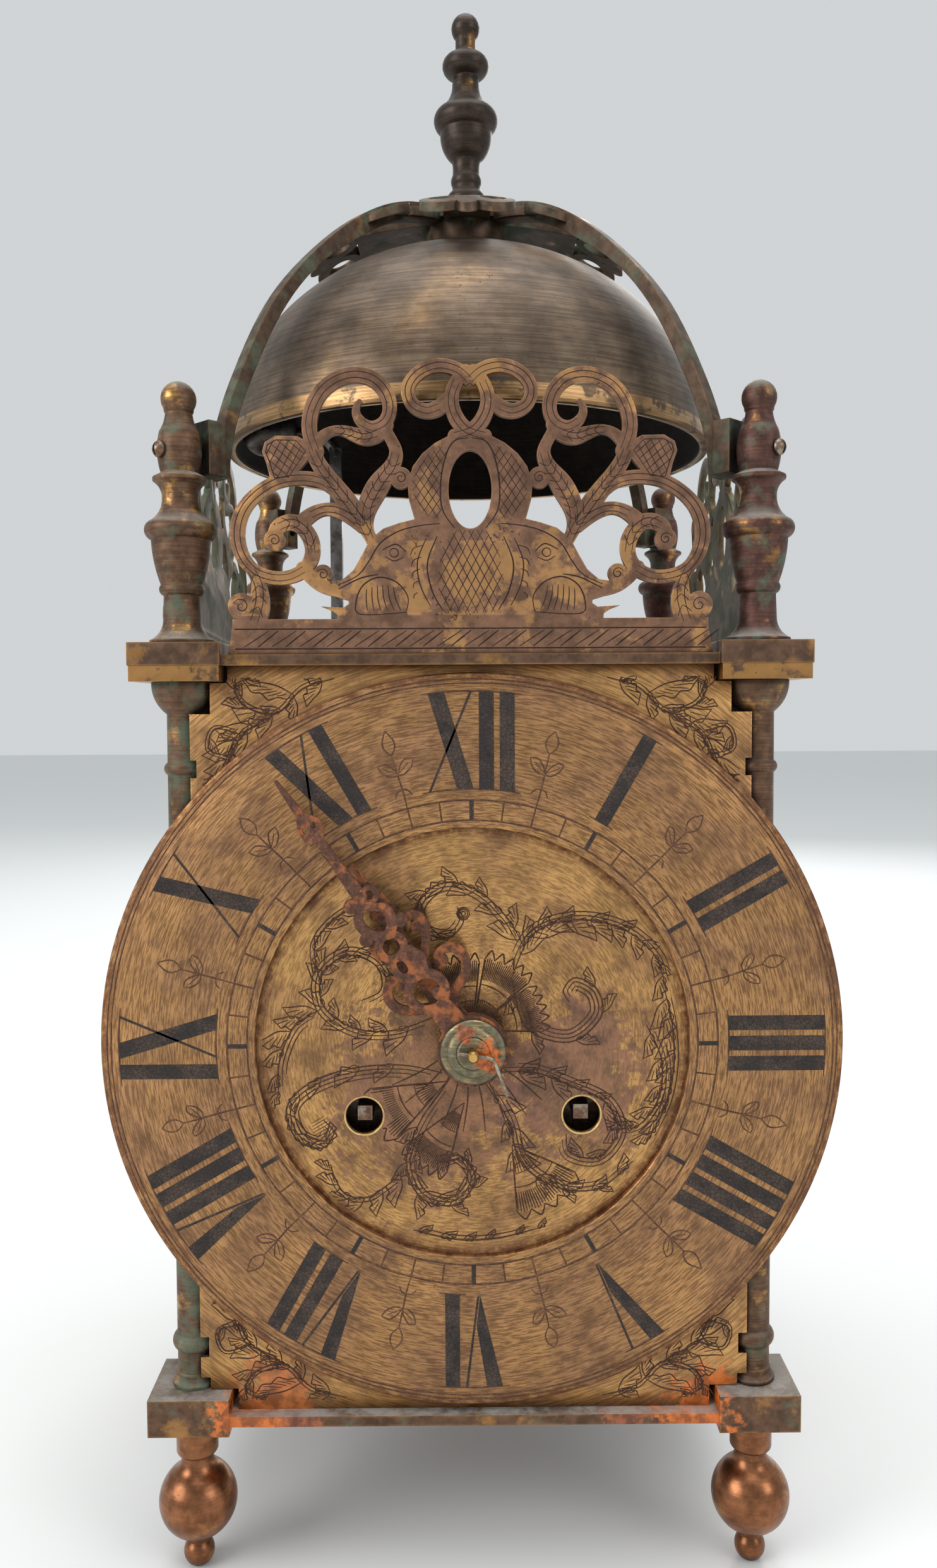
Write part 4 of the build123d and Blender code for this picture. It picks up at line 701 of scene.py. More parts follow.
class Grain(Enum):
    """Tool marks in a surface."""

    NONE = 0
    TURNED = 1
    ROUND = 2


@dataclass(frozen=True)
class Stain:
    """A coloured patch at a place, such as rust that ran from a joint."""

    centre: tuple[float, float, float]
    radius: float
    colour: Colour
    rough: float = 0.35
    share: float = 0.95


@dataclass(frozen=True)
class WornMetal:
    """Metal under its patina: bare where rubbed, darkened in its hollows by dirt and painted shade, spotted,
    greened and dusty.
    """

    name: str
    bare: Colour
    film: Colour
    deep: Colour
    cover: float = 0.6
    patch: float = 9.0
    soft: float = 0.07
    edge: float = 0.6
    edge_wear: float = 0.8
    # Strength of the dirt and painted shade in hollows.
    hollow: float = 0.8
    hollow_reach: float = 3.0
    green: float = 0.0
    dust: float = 0.0
    specks: float = 0.25
    speck_size: float = 0.7
    rough: tuple[float, float] = (0.3, 0.5)
    film_metal: float = 0.65
    grain: Grain = Grain.NONE
    grain_size: float = 0.5
    grain_around: float = 9.0
    grain_colour: float = 0.35
    bump: float = 0.25
    round_edges: float = 0.0
    centre: tuple[float, float, float] = (0.0, 0.0, 0.0)
    gold_band: tuple[float, float] | None = None
    gold_cover: float = 0.72
    # Radii of a rim band of crust; on the dial plate it is also painted shadow of the hour ring's inner edge.
    rim_dirt: tuple[float, float] | None = None
    stains: tuple[Stain, ...] = ()
    relief: float = 0.25

    def make(self) -> bpy.types.Material:
        """Wire the finish.

        Returns:
            The material.
        """
        material, g, at = open_finish(self.name, tuple(-c for c in self.centre))
        film = g.use(Effect.PATCHES, Vector=at, Size=self.patch, Cover=self.cover, Soft=self.soft)
        tone = g.noise(at, 1.0 / (self.patch * 0.31), 5.0, 0.6)
        edges = g.use(
            Effect.EDGES, Vector=at, Reach=self.edge, Patch=self.patch * 0.5, Strength=self.edge_wear
        )
        film = g.calc("MULTIPLY", film, g.calc("SUBTRACT", 1.0, edges), True)
        if self.gold_band:
            low, high = self.gold_band
            band = g.use(Effect.BAND, Vector=at, Low=low, High=high)
            worn = g.use(Effect.PATCHES, Vector=at, Size=5.0, Cover=self.gold_cover, Soft=0.05)
            film = g.calc("MULTIPLY", film, g.calc("SUBTRACT", 1.0, g.calc("MULTIPLY", band, worn)), True)
        film_tone = g.blend(
            g.span(tone, 0.3, 0.7), tuple(c * 0.62 for c in self.film),
            tuple(min(1, c * 1.3) for c in self.film),
        )
        bare_tone = g.blend(g.span(tone, 0.25, 0.7), tuple(c * 0.82 for c in self.bare), self.bare)
        colour = g.blend(film, bare_tone, film_tone)
        rough = g.span(film, 0.0, 1.0, self.rough[0], self.rough[1])
        metal = g.span(film, 0.0, 1.0, 1.0, self.film_metal)
        height = g.calc("MULTIPLY", g.noise(at, 2.4 / self.patch, 8.0, 0.6), 0.6)
        if self.grain is not Grain.NONE:
            if self.grain is Grain.TURNED:
                line = g.use(Effect.TURNED, Vector=at, Spacing=self.grain_size)
            else:
                line = g.use(Effect.ROUND, Vector=at, Spacing=self.grain_size, Around=self.grain_around)
            dark = g.calc("MULTIPLY", g.span(line, 0.57, 0.42), self.grain_colour)
            colour = g.blend(dark, colour, self.deep)
            height = g.calc("ADD", height, line)
        # Rim band: crust, and on the dial plate also the painted shadow of the hour ring's inner edge.
        if self.rim_dirt:
            start, end = self.rim_dirt
            crust = g.use(Effect.CRUST, Vector=at, Start=start, End=end)
            colour = g.blend(crust, colour, CRUST_AND_SHADE_BROWN)
            rough = g.calc("ADD", rough, g.calc("MULTIPLY", crust, 0.2), True)
        # Dirt and painted shade: darker toward the deep colour where ambient occlusion finds a place closed in.
        hollows = g.use(Effect.HOLLOWS, Reach=self.hollow_reach, Strength=self.hollow)
        colour = g.blend(hollows, colour, self.deep)
        rough = g.calc("ADD", rough, g.calc("MULTIPLY", hollows, 0.2), True)
        if self.specks:
            spots = g.use(Effect.SPECKS, Vector=at, Size=self.speck_size, Cover=self.specks)
            colour = g.blend(g.calc("MULTIPLY", spots, 0.8), colour, self.deep)
            height = g.calc("SUBTRACT", height, g.calc("MULTIPLY", spots, 0.5))
            rough = g.calc("ADD", rough, g.calc("MULTIPLY", spots, 0.15), True)
        if self.green:
            growth = g.use(Effect.PATCHES, Vector=at, Size=self.patch * 0.8, Cover=self.green, Soft=0.09)
            growth = g.calc("MULTIPLY", growth, g.span(hollows, 0.0, 0.6, 0.6, 1.0), True)
            colour = g.blend(growth, colour, VERDIGRIS)
            metal = g.calc("MULTIPLY", metal, g.calc("SUBTRACT", 1.0, growth))
            rough = g.calc("ADD", rough, g.calc("MULTIPLY", growth, 0.3), True)
        for stain in self.stains:
            mark = g.use(Effect.STAIN, Vector=at, Centre=stain.centre, Radius=stain.radius)
            mark = g.calc("MULTIPLY", mark, stain.share)
            patchy = g.blend(g.span(tone, 0.38, 0.6), tuple(c * 0.4 for c in stain.colour), stain.colour)
            colour = g.blend(mark, colour, patchy)
            metal = g.calc("MULTIPLY", metal, g.calc("SUBTRACT", 1.0, mark))
            rough = g.add("Mix", {0: mark, 2: rough, 3: stain.rough}).outputs[0]
            height = g.calc("ADD", height, g.calc("MULTIPLY", mark, 0.8))
        if self.dust:
            settled = g.use(Effect.DUST, Vector=at, Strength=self.dust)
            colour = g.blend(settled, colour, DUST_GREY)
            metal = g.calc("MULTIPLY", metal, g.calc("SUBTRACT", 1.0, settled))
            rough = g.calc("ADD", rough, g.calc("MULTIPLY", settled, 0.4), True)
        surface = {"Height": height, "Strength": self.bump, "Distance": self.relief * MM}
        if self.round_edges:
            surface["Normal"] = g.add("Bevel", {"Radius": self.round_edges * MM}, samples=4).outputs[0]
        normal = g.add("Bump", surface).outputs[0]
        shader = g.add(
            "BsdfPrincipled", {"Base Color": colour, "Roughness": rough, "Metallic": metal, "Normal": normal}
        )
        g.tree.links.new(shader.outputs[0], g.add("OutputMaterial").inputs[0])
        return material


@dataclass(frozen=True)
class Wax:
    """Dark filling in cut lines and numerals: dull, finely cracked, worn to a lighter grey."""

    name: str
    colour: Colour
    worn: Colour
    crack: float = 0.9
    rough: float = 0.7
    relief: float = 0.1
    shine: float = 0.22

    def make(self) -> bpy.types.Material:
        """Wire the finish.

        Returns:
            The material.
        """
        material, g, at = open_finish(self.name)
        cells = g.add(
            "TexVoronoi", {"Vector": at, "Scale": 1.0 / self.crack}, feature="DISTANCE_TO_EDGE"
        ).outputs[0]
        cracks = g.span(cells, 0.12, 0.0)
        worn = g.use(Effect.PATCHES, Vector=at, Size=6.0, Cover=0.45, Soft=0.12)
        colour = g.blend(g.calc("MULTIPLY", worn, 0.7), self.colour, self.worn)
        colour = g.blend(g.calc("MULTIPLY", cracks, 0.7), colour, tuple(c * 0.4 for c in self.colour))
        height = g.calc("SUBTRACT", g.noise(at, 1.3, 6.0), cracks)
        normal = g.add("Bump", {"Height": height, "Strength": 0.5, "Distance": self.relief * MM}).outputs[0]
        rough = g.span(worn, 0.0, 1.0, self.rough - 0.1, self.rough + 0.15)
        shader = g.add(
            "BsdfPrincipled", {"Base Color": colour, "Roughness": rough, "Metallic": 0.0, "Normal": normal}
        )
        shader.inputs["Specular IOR Level"].default_value = self.shine
        g.tree.links.new(shader.outputs[0], g.add("OutputMaterial").inputs[0])
        return material


@dataclass(frozen=True)
class RustedIron:
    """Iron under crusty rust, orange where it is fresh and purple-brown where it is old."""

    name: str
    old: Colour = display(112, 70, 50)
    fresh: Colour = display(186, 108, 56)
    pale: Colour = display(168, 126, 94)
    crust: float = 1.0
    relief: float = 0.9

    def make(self) -> bpy.types.Material:
        """Wire the finish.

        Returns:
            The material.
        """
        material, g, at = open_finish(self.name)
        lumps = g.noise(at, 0.9, 8.0, 0.7)
        fresh = g.use(Effect.PATCHES, Vector=at, Size=3.2, Cover=0.36, Soft=0.07)
        pale = g.use(Effect.SPECKS, Vector=at, Size=0.9, Cover=0.5)
        colour = g.blend(g.span(lumps, 0.35, 0.65), tuple(c * 0.45 for c in self.old), self.old)
        colour = g.blend(g.calc("MULTIPLY", fresh, 0.75), colour, self.fresh)
        colour = g.blend(g.calc("MULTIPLY", pale, 0.7), colour, self.pale)
        # Old rust and painted shade in hollows, where ambient occlusion finds a place closed in.
        hollows = g.use(Effect.HOLLOWS, Reach=1.2, Strength=0.8)
        colour = g.blend(hollows, colour, HOLLOW_RUST_AND_SHADE)
        rough = g.span(lumps, 0.3, 0.7, 0.75, 0.5)
        normal = g.add(
            "Bump", {"Height": lumps, "Strength": self.crust, "Distance": self.relief * MM}
        ).outputs[0]
        shader = g.add(
            "BsdfPrincipled", {"Base Color": colour, "Roughness": rough, "Metallic": 0.15, "Normal": normal}
        )
        g.tree.links.new(shader.outputs[0], g.add("OutputMaterial").inputs[0])
        return material


GOLD = display(196, 148, 88)
BROWN = display(104, 76, 56)
UMBER = display(46, 33, 28)
RUST_RED = display(212, 112, 42)


class Metals:
    """The clock's finishes, each made once."""

    def __init__(self) -> None:
        """Make every material."""
        case = dict(bare=GOLD, film=BROWN, deep=UMBER)
        dial_at = (0.0, 0.0, DIAL_Z)
        self.pillar = WornMetal(
            "Pillar brass", **case, cover=0.86, green=0.18, edge_wear=0.7, grain=Grain.TURNED, dust=0.3
        ).make()
        self.pillar_left = WornMetal(
            "Greened pillar brass", **case, cover=0.9, green=0.5, grain=Grain.TURNED, dust=0.3
        ).make()
        self.finial = WornMetal(
            "Finial brass", **case, cover=0.76, patch=7.0, green=0.24, dust=0.75, edge_wear=0.8,
            grain=Grain.TURNED,
        ).make()
        self.finial_right = WornMetal(
            "Red-brown finial brass", display(170, 124, 78), display(90, 60, 52), UMBER, cover=0.84,
            patch=7.0, green=0.26, dust=0.75, edge_wear=0.6, grain=Grain.TURNED,
        ).make()
        self.crest = WornMetal(
            "Top finial brass", display(150, 112, 70), display(58, 46, 38), display(24, 19, 17), cover=0.95,
            rough=(0.3, 0.4), dust=0.15, edge_wear=0.5, grain=Grain.TURNED,
        ).make()
        self.foot = WornMetal(
            "Foot copper brass", display(196, 140, 84), display(140, 92, 62), UMBER, cover=0.82, patch=12.0,
            rough=(0.18, 0.3), film_metal=0.9, grain=Grain.TURNED, grain_colour=0.15, bump=0.12, specks=0.35,
        ).make()
        rust = (
            Stain((-48.0, -71.5, 40.6), 14.0, RUST_RED, 0.22),
            Stain((50.0, -71.5, 40.6), 11.0, RUST_RED, 0.22),
            Stain((-40.0, -73.5, 40.5), 6.0, display(150, 84, 50), 0.4),
            Stain((36.0, -73.5, 40.5), 6.0, display(150, 84, 50), 0.4),
        )
        self.base = WornMetal(
            "Base plate brass", display(168, 124, 78), display(98, 72, 54), UMBER, cover=0.84, dust=0.85,
            green=0.2, edge=0.9, edge_wear=1.0, stains=rust,
        ).make()
        self.top = WornMetal(
            "Top plate brass", display(164, 122, 76), display(96, 72, 56), UMBER, cover=0.84, dust=0.5,
            edge=0.9, edge_wear=1.0, gold_band=(209.5, 213.6),
        ).make()
        self.strap = WornMetal(
            "Strap brass", display(160, 120, 76), display(84, 66, 52), display(26, 24, 20), cover=0.93,
            green=0.34, edge_wear=0.45, round_edges=0.4, rough=(0.36, 0.5),
        ).make()
        self.fret = WornMetal(
            "Fret brass", display(196, 148, 100), display(118, 86, 66), display(52, 34, 28), cover=0.74,
            patch=11.0, soft=0.05, gold_band=(225.0, 241.0), gold_cover=0.42, specks=0.45, speck_size=0.9,
            edge_wear=0.55, rough=(0.34, 0.52), film_metal=0.55, round_edges=0.15,
        ).make()
        self.side_fret = WornMetal(
            "Side fret brass", display(190, 150, 90), display(94, 78, 58), display(40, 34, 28), cover=0.86,
            green=0.42, patch=11.0, round_edges=0.15,
        ).make()
        self.bell = WornMetal(
            "Bell metal", display(176, 140, 98), display(103, 88, 74), display(50, 40, 34), cover=0.95,
            patch=30.0, soft=0.2, edge=1.0, edge_wear=0.9, hollow=0.3, hollow_reach=6.0, specks=0.42,
            speck_size=0.9, rough=(0.36, 0.46), film_metal=0.9, grain=Grain.TURNED, grain_size=0.6,
            grain_colour=0.42, bump=0.3, gold_band=(BELL_RIM, BELL_RIM + 4.0),
        ).make()
        # Inside of the bell: the bell metal made much darker, which is painted shade; its rougher finish is its
        # own.
        self.bell_inside = WornMetal(
            "Bell metal inside with painted shade", display(70, 56, 44), display(44, 36, 30), display(16, 13, 12), cover=0.8,
            patch=14.0, rough=(0.55, 0.7), film_metal=0.5, grain=Grain.TURNED,
        ).make()
        self.ring = WornMetal(
            "Hour ring brass", display(192, 146, 97), display(154, 114, 78), display(88, 60, 46), cover=0.5,
            patch=18.0, soft=0.16, edge=0.7, hollow=0.7, hollow_reach=2.0, specks=0.22, speck_size=0.5,
            rough=(0.38, 0.5), film_metal=0.68, grain=Grain.ROUND, grain_size=0.34, grain_around=20.0,
            grain_colour=0.66, bump=0.35, centre=dial_at, rim_dirt=(80.5, 86.5),
        ).make()
        marks = (
            Stain((-10.0, -70.8, -14.0), 24.0, display(124, 80, 60), 0.46, 0.7),
            Stain((22.0, -70.8, -8.0), 20.0, display(118, 76, 60), 0.46, 0.75),
            Stain((-46.0, -70.8, -84.5), 11.0, display(186, 104, 48), 0.3, 0.85),
            Stain((54.0, -70.8, -85.0), 9.0, RUST_RED, 0.3, 0.9),
        )
        # The dial's rim band at 46.8 to 50 mm is rust spots and the painted shadow of the hour ring's inner edge.
        self.dial = WornMetal(
            "Dial brass", display(208, 160, 102), display(158, 118, 77), display(88, 60, 44), cover=0.46,
            patch=14.0, soft=0.12, hollow=0.75, hollow_reach=2.4, specks=0.3, speck_size=0.5,
            rough=(0.3, 0.46), film_metal=0.7, grain=Grain.ROUND, grain_size=0.4, grain_around=16.0,
            grain_colour=0.5, bump=0.3, centre=dial_at, stains=marks, rim_dirt=(46.8, 50.0),
        ).make()
        self.collet = WornMetal(
            "Collet brass", display(168, 150, 112), display(120, 116, 92), display(66, 46, 34), cover=0.7,
            patch=4.0, specks=0.3, grain=Grain.TURNED, rough=(0.3, 0.5),
            stains=(
                Stain((3.4, -80.0, DIAL_Z - 1.0), 4.2, display(206, 104, 36), 0.3),
                Stain((-1.5, -80.0, DIAL_Z + 4.6), 2.6, display(160, 84, 44), 0.4),
            ),
        ).make()
        self.works = WornMetal(
            "Movement brass", display(214, 176, 104), display(164, 132, 80), display(78, 60, 40), cover=0.45,
            patch=16.0, soft=0.16, hollow=0.6, specks=0.1, rough=(0.24, 0.38), film_metal=0.85,
            round_edges=0.12,
        ).make()
        self.steel = WornMetal(
            "Arbor steel", display(150, 148, 146), display(104, 98, 94), display(50, 42, 38), cover=0.5,
            patch=7.0, specks=0.3, rough=(0.24, 0.42), film_metal=0.9, round_edges=0.12,
        ).make()
        self.square = WornMetal(
            "Winding square steel", display(150, 138, 124), display(112, 84, 66), display(40, 30, 26),
            cover=0.6, patch=3.0, rough=(0.3, 0.45), film_metal=0.8, round_edges=0.2,
        ).make()
        self.door = WornMetal(
            "Door brass", display(172, 130, 82), display(122, 92, 64), display(58, 42, 34), cover=0.78,
            patch=11.0, soft=0.3, edge_wear=0.9, green=0.1, specks=0.3, round_edges=0.3, rough=(0.34, 0.48),
            grain=Grain.TURNED, grain_size=0.35, grain_colour=0.3,
        ).make()
        self.rust = RustedIron("Rusted hand iron").make()
        self.wire = WornMetal(
            "Pale wire", display(176, 168, 150), display(130, 112, 92), display(70, 54, 44), cover=0.5,
            patch=2.0, rough=(0.35, 0.5),
        ).make()
        self.wax = Wax("Numeral wax", display(50, 44, 42), display(86, 72, 64)).make()
        self.cut = Wax("Cut line dirt", display(66, 44, 34), display(92, 64, 48), 1.4).make()
        self.ring_cut = Wax("Ring line dirt", display(88, 60, 46), display(116, 84, 62), 1.4).make()
        self.fret_cut = Wax("Fret line dirt", display(40, 25, 22), display(64, 42, 34), 1.4).make()
        self.rim = WornMetal(
            "Bright hole rim", display(226, 190, 124), display(170, 134, 84), display(60, 44, 34), cover=0.3,
            patch=3.0, rough=(0.2, 0.35),
        ).make()


def dress(piece: Body, material: bpy.types.Material) -> Body:
    """Give a piece one material all over.

    Args:
        piece: the piece.
        material: the finish.

    Returns:
        The same piece.
    """
    if len(piece.data.materials):
        for i in range(len(piece.data.materials)):
            piece.data.materials[i] = material
    else:
        piece.data.materials.append(material)
    return piece


def fit(piece: Body, slot: str, *nodes: str, body: str = "case") -> Body:
    """Settle a finished piece: its body and the nodes it stands for.

    Args:
        piece: the finished piece.
        slot: the record's material slot; not used.
        nodes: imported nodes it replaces.
        body: the body it rides on if it replaces none.

    Returns:
        The same piece.
    """
    if nodes:
        body = frame["nodes"][nodes[0]]["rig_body"]
        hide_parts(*nodes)
    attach(piece, body)
    return piece


# ---- turned pieces ----
CORNERS = {
    "front_left": (-CORNER, -CORNER),
    "front_right": (CORNER, -CORNER),
    "rear_left": (-CORNER, CORNER),
    "rear_right": (CORNER, CORNER),
}


def to_corners(
    first: Body, kind: str, height: float, left: bpy.types.Material, right: bpy.types.Material
) -> list[Body]:
    """Copy a turned piece to the four corners and take the first one away.

    Args:
        first: the piece, standing at the origin.
        kind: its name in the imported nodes.
        height: level it stands on.
        left: finish of the left pair.
        right: finish of the right pair.

    Returns:
        The four copies.
    """
    made = []
    for corner, (x, y) in CORNERS.items():
        piece = twin(first, f"turned_{kind}_{corner}", Matrix.Translation((x * MM, y * MM, height * MM)))
        dress(piece, left if "left" in corner else right)
        made.append(fit(piece, "patinated_brass", f"{kind}_{corner}"))
    bpy.data.objects.remove(first)
    return made


def to_dial(piece: Body, at: Point = (0.0, 0.0)) -> Body:
    """Tip a piece that was turned upright toward the front and set it on the dial.

    Args:
        piece: the piece, standing at the origin.
        at: its middle from the dial's.

    Returns:
        The same piece.
    """
    spot = Matrix.Translation((at[0] * MM, 0, (DIAL_Z + at[1]) * MM))
    return place(piece, spot @ Matrix.Rotation(math.radians(90), 4, "X"))


@dataclass
class Pillars:
    """Four turned pillars, the same outline, each with its own wear."""

    shaft: float = 4.15
    shaft_top: float = 3.95
    length: float = 165.1
    low_knop: float = 10.3
    top_knop: float = 19.8
    sides: int = 72

    def outline(self) -> list[Point]:
        """Outline from the base block to the top block.

        Returns:
            Its (radius, height) points.
        """
        a, b, top = self.shaft, self.shaft_top, self.length - self.top_knop
        points = [(0, 0), (5.4, 0), (5.4, 0.8), (4.45, 2.8, 4.7, 1.5), (a, 3.2), (a, self.low_knop - 2.0)]
        points += [(a, self.low_knop + 2.0, 5.25, self.low_knop), (b, top - 1.4), (b, top + 1.4, 4.75, top)]
        points += [
            (3.9, self.length - 7.3), (7.25, self.length - 0.9, 6.1, self.length - 4.8), (7.25, self.length),
            (0, self.length),
        ]
        return bow(points, 8)

    def build(self, metals: Metals) -> list[Body]:
        """Turn one pillar and copy it to the corners.

        Args:
            metals: the finishes.

        Returns:
            The four pillars.
        """
        first = ease(turn("pillar", self.outline(), self.sides), 0.18)
        return to_corners(first, "pillar", BLOCK_TOP, metals.pillar_left, metals.pillar)


@dataclass
class Feet:
    """Four ball feet."""

    sides: int = 80

    def outline(self) -> list[Point]:
        """Outline from the base block down to the floor.

        Returns:
            Its (radius, height) points.
        """
        h = FOOT_TOP
        points = [
            (0, h), (4.9, h), (4.9, h - 7.9), (3.6, h - 8.8, 4.5, h - 8.6), (3.6, h - 9.4),
            (5.95, h - 13.18, 4.3, h - 11.6),
        ]
        line = bow(points, 6)
        line = bow([*line, (2.55, h - 29.04, "round")], 1)[:-1] + bow(
            [line[-1], (2.55, h - 29.04, "round")], 20
        )[1:]
        return line + bow([line[-1], (2.5, h - 30.4), (1.4, 0.0, "round"), (0, 0)], 9)[1:]

    def build(self, metals: Metals) -> list[Body]:
        """Turn one foot and copy it to the corners."""
        first = ease(turn("foot", self.outline(), self.sides), 0.15)
        return to_corners(first, "foot", 0.0, metals.foot, metals.foot)


@dataclass
class Finials:
    """Four corner finials and the tall one over the strap."""

    sides: int = 72

    def corner_outline(self) -> list[Point]:
        """Outline of a corner finial over its block.

        Returns:
            Its (radius, height) points.
        """
        points = [(0, 0), (7.5, 0), (7.5, 0.9), (4.35, 5.2, 5.3, 2.6), (4.1, 11.0), (4.7, 13.5, 5.1, 12.3)]
        points += [
            (6.7, 23.6, 6.2, 19.0), (6.7, 28.0, 8.2, 25.8), (4.1, 33.0, 4.75, 30.2), (6.15, 36.9, 4.65, 35.4)
        ]
        points += [
            (6.15, 37.7), (4.25, 38.7), (4.45, 48.0, 5.0, 43.5), (3.05, 52.2, 3.5, 50.0), (3.3, 52.4),
            (3.4, 53.2),
        ]
        return bow([*points, (0, 59.3, "round")], 9)

    def crest_outline(self) -> list[Point]:
        """Outline of the top finial over the strap's hub.

        Returns:
            Its (radius, height) points.
        """
        points = [(0, 0), (7.0, 0), (7.0, 0.7), (5.5, 5.35, 5.75, 2.8), (3.86, 7.9, 4.9, 7.0), (3.86, 9.2)]
        points += [
            (3.86, 12.0, 4.25, 10.6), (3.95, 15.9, 3.7, 14.0), (7.1, 23.8, 6.3, 19.0), (7.1, 30.0, 8.9, 26.7)
        ]
        points += [
            (3.75, 36.8, 4.9, 32.4), (3.4, 38.0), (3.5, 38.6), (3.5, 44.6, 6.45, 41.5),
            (2.8, 46.5, 2.95, 45.6), (2.8, 48.9),
        ]
        return bow([*points, (0, 55.55, "round")], 9)

    def build(self, metals: Metals) -> list[Body]:
        """Turn both outlines; copy the corner one to its places.

        Args:
            metals: the finishes.

        Returns:
            The pieces made.
        """
        first = ease(turn("finial", self.corner_outline(), self.sides), 0.15)
        made = to_corners(first, "finial", FINIAL_FOOT, metals.finial, metals.finial_right)
        crest = ease(turn("turned_top_finial", self.crest_outline(), self.sides), 0.15)
        place(crest, Matrix.Translation((0, 0, STRAP_TOP * MM)))
        dress(crest, metals.crest)
        made.append(fit(crest, "patinated_brass", "top_finial"))
        return made


@dataclass
class Bell:
    """Half-ellipse bell with a rounded lip."""

    radius: float = 66.5
    height: float = 55.5
    wall: float = 2.5
    steps: int = 40
    sides: int = 160

    def outline(self) -> list[Point]:
        """Closed outline: up the outside, round the hole in the crown and down the inside.

        Returns:
            Its (radius, height) points.
        """
        outside, inside = [], []
        for i in range(self.steps):
            angle = math.radians(1.5 + 85.8 * i / (self.steps - 1))
            outside.append((self.radius * math.cos(angle), BELL_RIM + self.height * math.sin(angle)))
            thin = self.radius - self.wall, self.height - self.wall
            inside.append((thin[0] * math.cos(angle), BELL_RIM + thin[1] * math.sin(angle)))
        lip = [
            (64.0, BELL_RIM + 0.6), (64.2, BELL_RIM + 0.15), (64.7, BELL_RIM), (65.9, BELL_RIM),
            (66.35, BELL_RIM + 0.2), (66.5, BELL_RIM + 0.8),
        ]
        return [*lip, *outside, *reversed(inside), lip[0]]

    def build(self, metals: Metals) -> Body:
        """Turn the bell and give its inside a much darker copy of the bell metal, a painted shade.

        Args:
            metals: the finishes.

        Returns:
            The pieces made.
        """
        piece = turn("turned_bell", self.outline(), self.sides)
        dress(piece, metals.bell)
        piece.data.materials.append(metals.bell_inside)
        # Faces inside the bell take the darker copy, a painted shade.
        for face in piece.data.polygons:
            at = face.center / MM
            level = (at.z - BELL_RIM) / (self.height - self.wall * 0.5)
            reach = math.hypot(at.x, at.y) / (self.radius - self.wall * 0.5)
            if reach * reach + level * level < 1 and at.z > BELL_RIM + 0.3:
                face.material_index = 1
        smooth(piece, LIP_SMOOTH)
        return fit(piece, "bell_metal", "bell")


# ---- drawn lines ----
def curve(points: list[Point], steps: int = 6) -> list[Point]:
    """Smooth line through points.

    Args:
        points: places it runs through.
        steps: pieces between two places.

    Returns:
        The line's points.
    """
    ends = [points[0], *points, points[-1]]
    line: list[Point] = []
    for a, b, c, d in zip(ends, ends[1:], ends[2:], ends[3:]):
        for i in range(steps):
            t = i / steps
            x, z = [
                0.5 * (
                    2 * q + (r - p) * t + (2 * p - 5 * q + 4 * r - s) * t * t + (3 * q - p - 3 * r + s) * t**3
                )
                for p, q, r, s in zip(a, b, c, d)
            ]
            line.append((x, z))
    return [*line, points[-1]]


def beside(line: list[Point], gap: float) -> list[Point]:
    """The same line moved sideways, left of its direction.

    Args:
        line: the line.
        gap: how far it is moved.

    Returns:
        The moved line.
    """
    moved = []
    for i, (x, z) in enumerate(line):
        a, b = line[max(0, i - 1)], line[min(len(line) - 1, i + 1)]
        long = math.hypot(b[0] - a[0], b[1] - a[1]) or 1.0
        moved.append((x - gap * (b[1] - a[1]) / long, z + gap * (b[0] - a[0]) / long))
    return moved


def spiral(centre: Point, start: float, end: float, heading: float, turns: float) -> list[Point]:
    """Spiral from one radius to another.

    Args:
        centre: its middle.
        start: first radius.
        end: last radius.
        heading: angle of its first point, in degrees.
        turns: turns, clockwise if negative.

    Returns:
        Its points.
    """
    count = max(8, int(abs(turns) * 30))
    line = []
    for i in range(count + 1):
        t = i / count
        reach = start + (end - start) * t**0.85
        angle = math.radians(heading + 360 * turns * t)
        line.append((centre[0] + reach * math.cos(angle), centre[1] + reach * math.sin(angle)))
    return line


